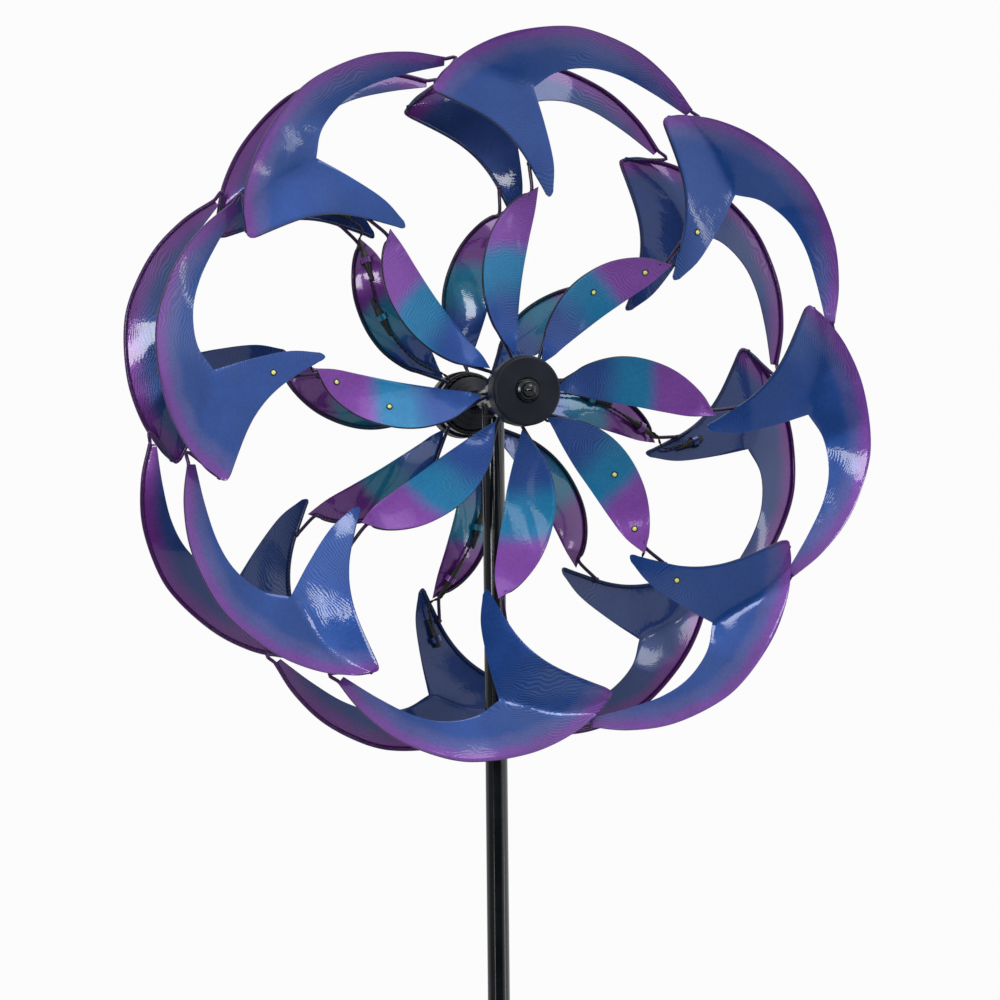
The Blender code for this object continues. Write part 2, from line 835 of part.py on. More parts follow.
def add_magnet_and_nut(side, head):
    bore = AXLE_RADIUS + GAP
    magnet = [
        (MAGNET_RADIUS, MAGNET_FRONT),
        (MAGNET_RADIUS, MAGNET_BACK),
        (bore, MAGNET_BACK),
        (bore, MAGNET_FRONT),
    ]
    turned(f"{side}_magnet_disc", magnet, magnet_ferrite(), head, rotor_place(side), outward(side))
    face = CAP_FACE + GAP
    facets = 4
    nut = []
    for i in range(facets + 1):
        swing = math.radians(i * 90 / facets)
        height = face + NUT_DOME_BASE + NUT_DOME * math.cos(swing)
        nut.append((NUT_DOME * math.sin(swing), height))
    nut += [
        (NUT_DOME, face + 1.4 * NUT_FLANGE_HEIGHT),
        (NUT_FLANGE_EDGE, face + NUT_FLANGE_HEIGHT),
        (NUT_FLANGE, face),
        (bore, face),
        (bore, AXLE_END + GAP),
        (0.0, AXLE_END + GAP),
    ]
    turned(
        f"{side}_dome_nut",
        nut,
        black_enamel(),
        head,
        rotor_place(side),
        outward(side),
        steps=SMALL_STEPS,
        ring=False,
    )


def rotor_place(side):
    """The rotor's centre, measured from the head's axis at axle height."""
    return (0, -TOWARDS_POLE[side] * ROTOR_SPACING / 2, 0)


def add_axle(head):
    """The axle, with a collar behind each inner bearing."""
    reach = ROTOR_SPACING / 2 + AXLE_END
    collar = ROTOR_SPACING / 2 + NECK_END - GAP
    profile = [
        (0.0, reach),
        (AXLE_RADIUS, reach),
        (AXLE_RADIUS, collar),
        (COLLAR_RADIUS, collar),
        (COLLAR_RADIUS, collar - COLLAR_WIDTH),
        (AXLE_RADIUS, collar - COLLAR_WIDTH),
    ]
    profile += [(radius, -height) for radius, height in reversed(profile)]
    turned(
        "axle", profile, bare_steel(), head, rotation=outward("front"), steps=SMALL_STEPS, ring=False
    )


# ---------------------------------------------------------------- head, pole and stake


def upright_rod(name, radius, top, length, segments):
    """A vertical cylinder with its upper end at a given height."""
    return rod_mesh(name, radius, length, Matrix.Translation((0, 0, top - length / 2)), segments)


def add_tee(head):
    """The tee that carries the axle: a barrel along the axle on a post with the swivel spindle."""
    along_axle = Matrix.Rotation(math.radians(90), 4, "X")
    barrel = rod_mesh("head_tee", TEE_RADIUS, 2 * TEE_HALF_LENGTH, along_axle, ROUND_STEPS)
    tee = add_object("head_tee", barrel, black_enamel(), head)
    post_top = TEE_OVERLAP
    spindle_top = TEE_BASE + TEE_OVERLAP
    post = upright_rod("head_tee_post", POLE_RADIUS, post_top, post_top - TEE_BASE, ROUND_STEPS)
    spindle = upright_rod(
        "head_tee_spindle", SPINDLE_RADIUS, spindle_top, SPINDLE_LENGTH + TEE_OVERLAP, SMALL_STEPS
    )
    hole = rod_mesh(
        "head_tee_hole", AXLE_RADIUS + GAP, 3 * TEE_HALF_LENGTH, along_axle, SMALL_STEPS
    )
    for mesh, operation in ((post, "UNION"), (spindle, "UNION"), (hole, "DIFFERENCE")):
        helper = add_helper(mesh.name, mesh)
        helper.parent = head
        boolean(tee, operation, helper)


def add_pole():
    """Swivel bush and three tube sections, each with a swaged end in the one below."""
    bore = POLE_RADIUS - POLE_WALL
    flange_top = AXLE_HEIGHT + TEE_BASE - GAP
    pole_top = flange_top - BUSH_FLANGE - GAP
    bush_end = pole_top - SPINDLE_LENGTH
    bush = [
        (POLE_RADIUS, flange_top),
        (POLE_RADIUS, flange_top - BUSH_FLANGE),
        (bore - GAP, flange_top - BUSH_FLANGE),
        (bore - GAP, bush_end),
        (SPINDLE_RADIUS + GAP, bush_end),
        (SPINDLE_RADIUS + GAP, flange_top),
    ]
    turned("swivel_bush", bush, bush_nylon(), steps=SMALL_STEPS)
    swage = bore - GAP
    tops = (pole_top, *(joint - GAP for joint in POLE_JOINTS))
    ends = (*POLE_JOINTS, POLE_FOOT)
    for name, top, end in zip(("pole_top", "pole_middle", "pole_base"), tops, ends):
        profile = [(POLE_RADIUS, top), (POLE_RADIUS, end)]
        if end == POLE_FOOT:
            profile += [(bore, end)]
        else:
            profile += [(swage, end), (swage, end - SWAGE_LENGTH), (swage - POLE_WALL, end - SWAGE_LENGTH)]
            profile += [(swage - POLE_WALL, end + POLE_WALL), (bore, end + POLE_WALL)]
        profile.append((bore, top))
        turned(name, profile, black_enamel())


def add_stake():
    """The ground stake: a socket for the pole on a foot bar, with four prongs below it."""
    overlap = 0.0010
    bore = POLE_RADIUS + GAP
    socket = [
        (SOCKET_RADIUS, SOCKET_HEIGHT),
        (SOCKET_RADIUS, FOOT_THICKNESS - overlap),
        (0.0, FOOT_THICKNESS - overlap),
        (0.0, POLE_FOOT - GAP),
        (bore, POLE_FOOT - GAP),
        (bore, SOCKET_HEIGHT),
    ]
    stake = turned("ground_stake", socket, black_enamel())
    foot_size = (FOOT_LENGTH, FOOT_WIDTH, FOOT_THICKNESS)
    foot = box_mesh("foot_bar", foot_size, Matrix.Translation((0, 0, FOOT_THICKNESS / 2)))
    boolean(stake, "UNION", add_helper("foot_bar", foot))
    for i, x in enumerate(PRONG_PLACES):
        for mesh in prong_meshes(f"prong_{i}", x, overlap):
            boolean(stake, "UNION", add_helper(mesh.name, mesh))
    sideways = Matrix.Rotation(math.radians(90), 4, "Y")
    place = Matrix.Translation((1.5 * SOCKET_RADIUS, 0, SCREW_HEIGHT))
    hole = rod_mesh(
        "clamp_screw_hole", SCREW_RADIUS + GAP, 3 * SOCKET_RADIUS, place @ sideways, SMALL_STEPS
    )
    boolean(stake, "DIFFERENCE", add_helper("clamp_screw_hole", hole))


def prong_meshes(name, x, overlap):
    """The shaft and the tapered point of one prong."""
    straight = PRONG_LENGTH - PRONG_TAPER
    shaft_top = FOOT_THICKNESS / 2
    shaft = rod_mesh(
        f"{name}_shaft",
        PRONG_RADIUS,
        straight + shaft_top,
        Matrix.Translation((x, 0, (shaft_top - straight) / 2)),
        FINE_STEPS,
    )
    point = rod_mesh(
        f"{name}_point",
        PRONG_POINT_RADIUS,
        PRONG_TAPER + overlap,
        Matrix.Translation((x, 0, (overlap - PRONG_TAPER) / 2 - straight)),
        FINE_STEPS,
        end_radius=0.98 * PRONG_RADIUS,
    )
    return shaft, point


def add_clamp_screw():
    """The thumb screw through the socket's wall, along +X, up to the pole."""
    head = SOCKET_RADIUS + GAP
    tip = POLE_RADIUS + GAP
    profile = [
        (0.0, head + SCREW_HEAD_LENGTH),
        (SCREW_HEAD_RADIUS, head + SCREW_HEAD_LENGTH),
        (SCREW_HEAD_RADIUS, head),
        (SCREW_RADIUS, head),
        (SCREW_RADIUS, tip),
        (0.0, tip),
    ]
    turned(
        "clamp_screw",
        profile,
        black_enamel(),
        location=(0, 0, SCREW_HEIGHT),
        rotation=(0, math.radians(90), 0),
        steps=SMALL_STEPS,
        ring=False,
    )


def main():
    clear_scene()
    head = add_axis("head_axis", (0, 0, AXLE_HEIGHT))
    for side in ("front", "rear"):
        axis = add_axis(f"{side}_rotor_axis", rotor_place(side))
        axis.parent = head
        add_spokes(side, axis)
        add_frame(side, axis)
        add_led_string(side, axis)
        add_hub(side, axis, head)
    add_axle(head)
    add_tee(head)
    add_pole()
    add_stake()
    add_clamp_screw()


main()
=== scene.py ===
"""Looks of the kinetic wind sculpture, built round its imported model.

Points on a rotor are (radius, clockwise angle seen from the front, set-back from the rotor's plane
towards the pole), in metres and degrees, as in the CAD. Every piece is made in place, in the row frame.
"""

import json
import math

import bmesh
import bpy
from mathutils import Matrix, Vector

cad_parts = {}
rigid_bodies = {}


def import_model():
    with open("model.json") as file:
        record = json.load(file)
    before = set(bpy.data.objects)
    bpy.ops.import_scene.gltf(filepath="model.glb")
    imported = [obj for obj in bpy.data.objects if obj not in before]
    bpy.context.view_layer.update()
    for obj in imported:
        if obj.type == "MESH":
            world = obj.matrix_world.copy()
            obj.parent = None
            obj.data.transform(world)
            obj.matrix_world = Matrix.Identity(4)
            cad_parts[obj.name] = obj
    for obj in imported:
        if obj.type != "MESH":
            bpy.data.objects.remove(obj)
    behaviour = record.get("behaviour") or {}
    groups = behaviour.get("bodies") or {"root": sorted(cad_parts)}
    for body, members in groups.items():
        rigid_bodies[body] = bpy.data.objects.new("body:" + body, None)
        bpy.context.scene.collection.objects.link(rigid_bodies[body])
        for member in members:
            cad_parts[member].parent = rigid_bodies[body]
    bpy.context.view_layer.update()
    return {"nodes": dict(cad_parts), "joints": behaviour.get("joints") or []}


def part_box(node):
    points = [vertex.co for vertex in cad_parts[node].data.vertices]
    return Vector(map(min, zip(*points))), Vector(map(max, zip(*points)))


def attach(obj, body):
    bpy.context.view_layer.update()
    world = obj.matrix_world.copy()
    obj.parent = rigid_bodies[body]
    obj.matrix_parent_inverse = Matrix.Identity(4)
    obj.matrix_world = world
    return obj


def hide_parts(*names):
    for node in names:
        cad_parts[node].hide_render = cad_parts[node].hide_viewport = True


for startup_object in list(bpy.data.objects):
    bpy.data.objects.remove(startup_object, do_unlink=True)

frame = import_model()
CENTRE = {joint["child"]: Vector(joint["pos_m"]) for joint in frame["joints"]}

# Layout, the same as the CAD's
SIDES = ("front", "rear")
BLADES = 8
PHASE = {"front": 0.0, "rear": 5.0}
LIT_BLADES = {"front": (2, 4, 7), "rear": (3, 5, 8)}
TOWARDS_POLE = {"front": 1, "rear": -1}

# Sheets, thinner than in CAD, and the rods welded behind them
SHEET = 0.0009
ROD_RADIUS = 0.0015
WELD_RADIUS = 0.0021

# Leaf
LEAF_ROOT = (0.0300, -5.0, 0.0000)
LEAF_TIP = (0.1660, 6.3, -0.0005)
LEAF_CONVEX = (
    (0.0440, -17.0, -0.0015),
    (0.0620, -21.2, -0.0042),
    (0.0860, -19.3, -0.0045),
    (0.1090, -14.5, -0.0014),
    (0.1325, -8.1, 0.0025),
    (0.1520, -1.0, 0.0035),
)
LEAF_STRAIGHT = (
    (0.0420, 0.5, 0.0010),
    (0.0560, 2.6, 0.0095),
    (0.0780, 4.5, 0.0165),
    (0.1000, 5.5, 0.0175),
    (0.1260, 6.6, 0.0160),
    (0.1480, 7.1, 0.0110),
)
LEAF_CAMBER = 0.0020

# Blade
HORN_CORNER = (0.1550, 10.2, 0.0000)
HEAD_CORNER = (0.2500, -17.2, -0.0156)
NOTCH = (0.2463, 3.9, 0.0066)
CREASE_END = (0.2640, -13.0, -0.0110)
FOLD_END = (0.2875, -1.2, -0.0100)
LEADING_EDGE = (
    (0.1640, 8.2, 0.0003),
    (0.1756, 5.2, -0.0002),
    (0.1938, 1.1, -0.0025),
    (0.2100, -3.2, -0.0060),
    (0.2245, -8.0, -0.0095),
    (0.2450, -15.3, -0.0142),
)
HEAD_EDGE = ((0.2540, -15.9, -0.0136), CREASE_END)
HORN_EDGE = ((0.1645, 10.8, 0.0008), (0.1880, 9.8, 0.0035), (0.2180, 6.7, 0.0055), NOTCH)
CREASE = (NOTCH, (0.2580, -4.6, -0.0011), CREASE_END)
CROWN_EDGE = (CREASE_END, (0.2765, -7.8, -0.0102), FOLD_END)
INNER_EDGE = (
    NOTCH,
    (0.2610, 8.0, 0.0066),
    (0.2695, 13.5, 0.0045),
    (0.2712, 19.0, 0.0036),
    (0.2690, 25.5, 0.0042),
    (0.2675, 32.6, 0.0042),
)
OUTER_EDGE = (
    FOLD_END,
    (0.2955, 6.5, -0.0098),
    (0.2975, 12.3, -0.0082),
    (0.2940, 20.0, -0.0047),
    (0.2850, 27.0, -0.0010),
    (0.2740, 32.9, 0.0016),
)
WELD = (0.1840, 3.6, 0.0030)
TAIL_BEND = (0.2712, 34.8, 0.0030)
TAIL_CAMBER = 0.0006

# How far from its crease, and from the fold beside it, a blade is rounded
FOLD = (NOTCH, FOLD_END)
CREASE_REACH = 0.006
FOLD_REACH = 0.026

# LEDs, as fractions along and across their panel, and their strings
LEAF_LEDS = ((0.52, 0.42), (0.83, 0.55))
BLADE_LED = (0.32, 0.50)
LAST_LED = 2
LED_RADIUS = 0.0018
LENS_DOME = 0.0009
HOLDER_RADIUS = 0.0028
HOLDER_LENGTH = 0.0140
BOOT_LENGTH = 0.0110
BOOT_RIBS = 5
STRAND_RADIUS = 0.00055
TWIST_PITCH = 0.0090

# Hubs, measured along the axle from the rotor's plane, positive away from the pole
HUB_RADIUS = 0.0280
NECK_RADIUS = 0.0220
CAP_RADIUS = 0.0270
CAP_FACE = 0.0300
DRUM_FRONT = 0.0260
NECK_START = 0.0100
NECK_END = -0.0080
RING_OUTER = 0.0262
RING_BACK = -0.0050
BELL_END = -0.0250
AXLE_RADIUS = 0.0040
CAP_BORE = 0.0093
DRUM_BORE = 0.0113
BELL_TIP = 0.0100
BELL_BORE = 0.0070
BELL_RIBS = 3
DOME_RADIUS = 0.0062

# Tee, pole and stake
POST_RADIUS = 0.0090
SPINDLE_RADIUS = 0.0050
POLE_WALL = 0.0015
SWAGE = 0.0500
FOOT_BAR = 0.0040
PRONG_PLACES = (-0.0850, -0.0300, 0.0300, 0.0850)
KNOB_RADIUS = 0.0068
KNOB_LENGTH = 0.0080
KNOB_FLUTES = 16

# Left between pieces that touch
GAP = 0.0003

# Behind the sheets: rods, LED holders and their clips, leads
ROD_DEPTH = SHEET / 2 + ROD_RADIUS - 0.0002
ROD_INSET = ROD_RADIUS + 0.0006
HOLDER_DEPTH = SHEET / 2 + GAP + HOLDER_RADIUS
CLIP_WALL = 0.0007
CLIP_WIDTH = 0.0048
CLIP_REACH = 0.0052
LOOM_RADIUS = NECK_RADIUS + 0.0018
LOOM_SETBACK = 0.0015 - RING_BACK
LOOM_STRAND = 0.0006

# Spacing of the fine ripples in the enamel, and of the pale streaks painted along them as a sheen
RIPPLE = 0.0020

# How finely the curved shapes are cut
CURVE_STEPS = 24
LEAF_STATIONS = 48
ALONG = 6
ROUND = 72

# Edges sharper than this, in degrees, stay crisp
SHEET_SMOOTH = 32.0
TURNED_SMOOTH = 15.0

# Radii below this are on the axis of a turned shape
ON_AXIS = 1e-7

UPRIGHT = Matrix.Identity(4)
QUARTER_TURN = Matrix.Rotation(math.radians(90), 4, "X")


# ---- curves, panels and frames


def polar(point):
    """A rotor's local point from its (radius, angle, set-back)."""
    radius, angle, setback = point
    turn = math.radians(angle)
    return Vector((radius * math.sin(turn), setback, radius * math.cos(turn)))


def even(count):
    """Shares from 0 to 1 in equal steps."""
    return [i / count for i in range(count + 1)]


def smooth_run(points):
    """Catmull-Rom curve through the points, with CURVE_STEPS steps between each two."""
    knots = [polar(p) if isinstance(p, tuple) else p for p in points]
    knots = [2 * knots[0] - knots[1], *knots, 2 * knots[-1] - knots[-2]]
    dense = []
    for a, b, c, d in zip(knots, knots[1:], knots[2:], knots[3:]):
        for i in range(CURVE_STEPS):
            t = i / CURVE_STEPS
            dense.append(
                0.5 * (2 * b + (c - a) * t + (2 * a - 5 * b + 4 * c - d) * t * t
                       + (3 * b - a - 3 * c + d) * t ** 3)
            )
    dense.append(knots[-2])
    return dense


def even_lengths(dense, segments):
    """The same line cut into segments of equal length."""
    lengths = [0.0]
    for p, q in zip(dense, dense[1:]):
        lengths.append(lengths[-1] + (q - p).length)
    result = []
    at = 0
    for i in range(segments + 1):
        wanted = lengths[-1] * i / segments
        while at < len(dense) - 2 and lengths[at + 1] < wanted:
            at += 1
        share = (wanted - lengths[at]) / (lengths[at + 1] - lengths[at])
        result.append(dense[at].lerp(dense[at + 1], min(share, 1.0)))
    return result


def spline(points, segments):
    """Catmull-Rom curve through the points, cut into equal lengths."""
    return even_lengths(smooth_run(points), segments)


def rounding(before, point, after, start, end, segments):
    """Part of the round corner from before to after that a corner point pulls out."""
    peak = polar(point)
    found = []
    for i in range(segments + 1):
        t = start + (end - start) * i / segments
        found.append(before * (1 - t) ** 2 + peak * (2 * t * (1 - t)) + after * t * t)
    return found


class Panel:
    """A sheet between two rails of equally many points, bulged by camber towards the pole."""

    def __init__(self, rail_a, rail_b, camber=0.0):
        self.rails = (rail_a, rail_b)
        self.stations = len(rail_a) - 1
        self.camber = camber

    def edge(self, rail, along):
        place = min(max(along, 0.0), 1.0) * self.stations
        i = min(int(place), self.stations - 1)
        return self.rails[rail][i].lerp(self.rails[rail][i + 1], place - i)

    def point(self, along, across):
        a = self.edge(0, along)
        b = self.edge(1, along)
        bulge = self.camber * math.sin(math.pi * along) * 4 * across * (1 - across)
        return a.lerp(b, across) + Vector((0, bulge, 0))

    def normal(self, along, across):
        """Unit normal on the pole side."""
        step = 0.02
        low = min(max(along, 0.05), 0.95)
        run = self.point(low + step, across) - self.point(low - step, across)
        width = self.point(low, across + step) - self.point(low, across - step)
        normal = run.cross(width).normalized()
        return normal if normal.y > 0 else -normal

    def behind(self, along, across, depth):
        return self.point(along, across) + self.normal(along, across) * depth

    def inset(self, rail, along, distance, depth):
        """A point behind the sheet, at a distance in from one rail."""
        width = (self.edge(1, along) - self.edge(0, along)).length
        share = min(distance / max(width, 1e-6), 0.5)
        return self.behind(along, share if rail == 0 else 1 - share, depth)


def leaf_panel():
    root = polar(LEAF_ROOT)
    tip = polar(LEAF_TIP)
    convex = spline([root, *map(polar, LEAF_CONVEX), tip], LEAF_STATIONS)
    straight = spline([root, *map(polar, LEAF_STRAIGHT), tip], LEAF_STATIONS)
    return Panel(convex, straight, LEAF_CAMBER)


def blade_panels():
    """Horn panel, crown panel and tail panel of one blade."""
    leading = spline(LEADING_EDGE, 6 * ALONG)
    head = spline(HEAD_EDGE, ALONG)
    horn = spline(HORN_EDGE, 5 * ALONG)
    crease = spline(CREASE, 4 * ALONG)
    horn_a = rounding(leading[0], HORN_CORNER, horn[0], 0.5, 0.0, ALONG)
    horn_b = rounding(leading[0], HORN_CORNER, horn[0], 0.5, 1.0, ALONG)
    head_round = rounding(leading[-1], HEAD_CORNER, head[0], 0.0, 1.0, 2 * ALONG)
    rail_a = [*horn_a, *leading[1:], *head_round[1:], *head[1:]]
    rail_b = [*horn_b, *horn[1:], *crease[1:]]
    outline = smooth_run((HEAD_EDGE[0], *CROWN_EDGE, *OUTER_EDGE[1:]))
    fold = outline.index(min(outline, key=lambda p: (p - polar(FOLD_END)).length))
    crown = Panel(crease[::-1], even_lengths(outline[CURVE_STEPS:fold + 1], 4 * ALONG))
    outer = even_lengths(outline[fold:], 10 * ALONG)
    tail = Panel(spline(INNER_EDGE, 10 * ALONG), outer, TAIL_CAMBER)
    return Panel(rail_a, rail_b), crown, tail


def rim_line():
    """The line along a blade's outer rim, from the head corner to the tail."""
    crown = spline(CROWN_EDGE, 8)
    outer = spline(OUTER_EDGE, 16)
    return [polar(HEAD_CORNER), polar(HEAD_EDGE[0]), *crown, *outer[1:]]


def gap_to_line(place, line):
    """Shortest distance from a place to a line of points."""
    best = 1.0
    for a, b in zip(line, line[1:]):
        run = b - a
        share = min(max((place - a).dot(run) / run.length_squared, 0.0), 1.0)
        best = min(best, (place - a - run * share).length)
    return best


def in_place(place, side, angle):
    """A rotor's local point, turned to its spoke and put at its rotor in the row frame."""
    spin = Matrix.Rotation(math.radians(angle), 3, "Y")
    local = Vector((place.x, place.y * TOWARDS_POLE[side], place.z))
    return CENTRE[f"{side}_rotor"] + spin @ local


def spoke_angle(side, number):
    return PHASE[side] + (number - 1) * 360 / BLADES


def along_axle(side):
    """Matrix with Z along the axle, away from the pole, at the rotor's centre."""
    turn = Matrix.Rotation(math.radians(90) * TOWARDS_POLE[side], 4, "X")
    return Matrix.Translation(CENTRE[f"{side}_rotor"]) @ turn


def pole_side_frame(panel, along, across, direction, depth, side, angle):
    """Matrix with Z along the lead and Y along the sheet's normal, at a depth behind the sheet."""
    normal = panel.normal(along, across)
    lengthwise = (direction - direction.dot(normal) * normal).normalized()
    spin = Matrix.Rotation(math.radians(angle), 3, "Y")
    columns = []
    for vector in (normal.cross(lengthwise), normal, lengthwise):
        columns.append(spin @ Vector((vector.x, vector.y * TOWARDS_POLE[side], vector.z)))
    columns.append(in_place(panel.behind(along, across, depth), side, angle))
    return Matrix([[columns[c][r] for c in range(4)] for r in range(3)] + [[0, 0, 0, 1]])


def circle(count):
    """(cosine, sine) of equal steps round a circle."""
    swings = [2 * math.pi * i / count for i in range(count)]
    return [(math.cos(swing), math.sin(swing)) for swing in swings]


def frames_along(points):
    """(across, upward) at each point of a line, carried along it without twist."""
    across = (points[1] - points[0]).normalized().orthogonal().normalized()
    frames = []
    for behind, ahead in zip(points[:1] + points[:-1], points[1:] + points[-1:]):
        tangent = (ahead - behind).normalized()
        across = (across - across.dot(tangent) * tangent).normalized()
        frames.append((across, tangent.cross(across)))
    return frames


# ---- materials


def nodes_for(name):
    """A new material's node tree and its Principled shader."""
    made = bpy.data.materials.new(name)
    made.use_nodes = True
    tree = made.node_tree
    return made, tree, tree.nodes["Principled BSDF"]


def node(tree, kind, **settings):
    made = tree.nodes.new(kind)
    for key, value in settings.items():
        setattr(made, key, value)
    return made


def feed(tree, sockets, values):
    """Links each socket to an output, or sets a number or a colour on it."""
    for key, value in values.items():
        if isinstance(value, bpy.types.NodeSocket):
            tree.links.new(value, sockets[key])
        elif isinstance(value, tuple):
            sockets[key].default_value = (*value, 1.0)
        else:
            sockets[key].default_value = value


def noise(tree, vector, scale, detail=3.0, roughness=0.5, distortion=0.0):
    made = node(tree, "ShaderNodeTexNoise")
    feed(tree, made.inputs, {
        "Vector": vector, "Scale": scale, "Detail": detail, "Roughness": roughness, "Distortion": distortion,
    })
    return made.outputs["Fac"]


def mapped(tree, value, low, high, out_low, out_high, smooth=False):
    made = node(tree, "ShaderNodeMapRange", interpolation_type="SMOOTHSTEP" if smooth else "LINEAR")
    feed(tree, made.inputs, {
        "Value": value, "From Min": low, "From Max": high, "To Min": out_low, "To Max": out_high,
    })
    return made.outputs["Result"]


def blended(tree, factor, first, second):
    made = node(tree, "ShaderNodeMix", data_type="RGBA")
    feed(tree, made.inputs, {0: factor, 6: first, 7: second})
    return made.outputs[2]


def maths(tree, operation, *values):
    made = node(tree, "ShaderNodeMath", operation=operation)
    feed(tree, made.inputs, dict(enumerate(values)))
    return made.outputs[0]


def ramp(tree, value, stops):
    made = node(tree, "ShaderNodeValToRGB")
    made.color_ramp.interpolation = "EASE"
    elements = made.color_ramp.elements
    while len(elements) < len(stops):
        elements.new(0.5)
    for element, (position, colour) in zip(elements, stops):
        element.position = position
        element.color = (*colour, 1.0)
    tree.links.new(value, made.inputs["Fac"])
    return made.outputs["Color"]


def bumped(tree, shader, layers):
    """Feeds the shader's normal from (height, distance) layers, one over the other."""
    below = {}
    for height, distance in layers:
        made = node(tree, "ShaderNodeBump")
        feed(tree, made.inputs, {"Strength": 1.0, "Distance": distance, "Height": height, **below})
        below = {"Normal": made.outputs["Normal"]}
    feed(tree, shader.inputs, {**below, "Coat Normal": below["Normal"]})


def attribute(tree, name):
    return node(tree, "ShaderNodeAttribute", attribute_name=name).outputs["Fac"]


def place_of(tree):
    return node(tree, "ShaderNodeTexCoord").outputs["Object"]


# Colours of the enamels, in linear light. NAVY, SLATE, DEEP_TEAL and MAGENTA are darker copies of the outward
# colours for the pole side: painted shade.
ROYAL = (0.010, 0.050, 0.225)
STEEL = (0.050, 0.066, 0.235)
NAVY = (0.010, 0.040, 0.180)
TEAL = (0.006, 0.142, 0.305)
VIOLET = (0.160, 0.045, 0.285)
PURPLE = (0.125, 0.040, 0.250)
SLATE = (0.008, 0.028, 0.125)
DEEP_TEAL = (0.004, 0.105, 0.190)
MAGENTA = (0.090, 0.015, 0.155)
# Pale colour of the painted sheen, a painted reflection on the enamel
PAINTED_SHEEN_PALE = (0.380, 0.460, 0.620)
# Near black that the edges and rods are blended towards: painted shade
PAINTED_SHADE_BLACK = (0.004, 0.004, 0.010)
INK = (0.0015, 0.0025, 0.0040)


def enamel(name, kind, pole_side, dark=0.0):
    """Metallic enamel of a sheet: bands by distance from the axle on a leaf, and a violet rim on a blade.

    dark, from 0 to 1, blends it towards black: painted shade.
    """
    made, tree, shader = nodes_for(name)
    place = place_of(tree)
    if kind == "leaf":
        layer, wander, start, end = "reach", 0.0022, 0.03, 0.17
        # On the pole side the bands take darker copies of the outward colours: painted shade
        blue, teal, violet = (NAVY, DEEP_TEAL, MAGENTA) if pole_side else (ROYAL, TEAL, VIOLET)
        stops = ((0.27, blue), (0.46, teal), (0.56, teal), (0.68, violet))
        rough, coat, metallic = (0.36, 0.48), 0.18, 0.25
    else:
        layer, wander, start, end = "rim", 0.0018, 0.0, 0.04
        stops = ((0.0, PURPLE), (0.08, PURPLE), (0.34, STEEL), (0.58, ROYAL), (1.0, ROYAL))
        # On the pole side the rim and the body take darker copies: painted shade
        if pole_side:
            stops = ((0.0, MAGENTA), (0.12, MAGENTA), (0.52, SLATE), (1.0, SLATE))
        rough, coat, metallic = (0.26, 0.38), 0.7, 0.4
    if pole_side:
        rough, coat = (0.22, 0.32), 0.3 if dark else 0.9
    drift = mapped(tree, noise(tree, place, 38.0), 0.3, 0.7, -1.0, 1.0)
    distance = maths(tree, "MULTIPLY_ADD", drift, wander, attribute(tree, layer))
    colour = ramp(tree, mapped(tree, distance, start, end, 0.0, 1.0), stops)
    flecks = mapped(tree, noise(tree, place, 420.0, 2.0), 0.35, 0.65, 0.92, 1.08)
    clouds = mapped(tree, noise(tree, place, 24.0, 4.0), 0.3, 0.7, 0.90, 1.10)
    tint = node(tree, "ShaderNodeHueSaturation")
    feed(tree, tint.inputs, {"Value": maths(tree, "MULTIPLY", flecks, clouds), "Color": colour})
    phase = mapped(tree, noise(tree, place, 26.0, 2.0), 0.0, 1.0, 0.0, 90.0)
    waved = maths(tree, "MULTIPLY_ADD", attribute(tree, "reach"), 2 * math.pi / RIPPLE, phase)
    ripples = maths(tree, "SINE", waved)
    # Painted sheen: pale streaks along the ripples, in patches, stand in for reflections on the wavy enamel
    sheen_patches = mapped(tree, noise(tree, place, 9.0, 2.0), 0.46, 0.64, 0.0, 0.090, True)
    painted_sheen = maths(tree, "MULTIPLY", mapped(tree, ripples, -0.2, 1.0, 0.0, 1.0, True), sheen_patches)
    final = blended(tree, painted_sheen, tint.outputs["Color"], PAINTED_SHEEN_PALE)
    # Painted shade: the cut edges and the rods behind the sheets are blended towards black
    if dark:
        final = blended(tree, dark, final, PAINTED_SHADE_BLACK)
    feed(tree, shader.inputs, {
        "Base Color": final,
        "Roughness": mapped(tree, noise(tree, place, 60.0, 3.0), 0.3, 0.7, *rough),
        "Metallic": metallic,
        "Specular IOR Level": 0.15,
        "Coat Weight": coat,
        "Coat Roughness": 0.05,
    })
    waves = noise(tree, place, 24.0, 1.0, 0.4, 0.3)
    peel = noise(tree, place, 260.0, 2.0)
    grain = 0.000003 if pole_side else 0.000005
    bumped(tree, shader, ((waves, 0.0006), (ripples, grain), (peel, 0.00004)))
    return made


def black_gloss(name, colour=INK, rough=(0.07, 0.13), gleam=0.5, bump=0.00002, scale=400.0):
    """Black enamel or moulding with fine texture, faint wear and dust in its roughness."""
    made, tree, shader = nodes_for(name)
    place = place_of(tree)
    cloud = noise(tree, place, 45.0, 4.0)
    lighter = tuple(1.6 * c + 0.001 for c in colour)
    feed(tree, shader.inputs, {
        "Base Color": blended(tree, mapped(tree, cloud, 0.45, 0.75, 0.0, 1.0), colour, lighter),
        "Roughness": mapped(tree, cloud, 0.3, 0.7, *rough),
        "Specular IOR Level": gleam,
    })
    bumped(tree, shader, ((noise(tree, place, scale, 3.0), bump),))
    return made


def bare_metal(name, colour, rough, stretch=(1.0, 1.0, 1.0)):
    """Turned or wound metal: fine lines stretched one way."""
    made, tree, shader = nodes_for(name)
    mapping = node(tree, "ShaderNodeMapping")
    mapping.inputs["Scale"].default_value = stretch
    tree.links.new(place_of(tree), mapping.inputs["Vector"])
    lines = noise(tree, mapping.outputs["Vector"], 300.0, 4.0)
    feed(tree, shader.inputs, {
        "Base Color": blended(tree, lines, tuple(0.7 * c for c in colour), colour),
        "Roughness": mapped(tree, lines, 0.3, 0.7, *rough),
        "Metallic": 1.0,
    })
    bumped(tree, shader, ((lines, 0.00003),))
    return made


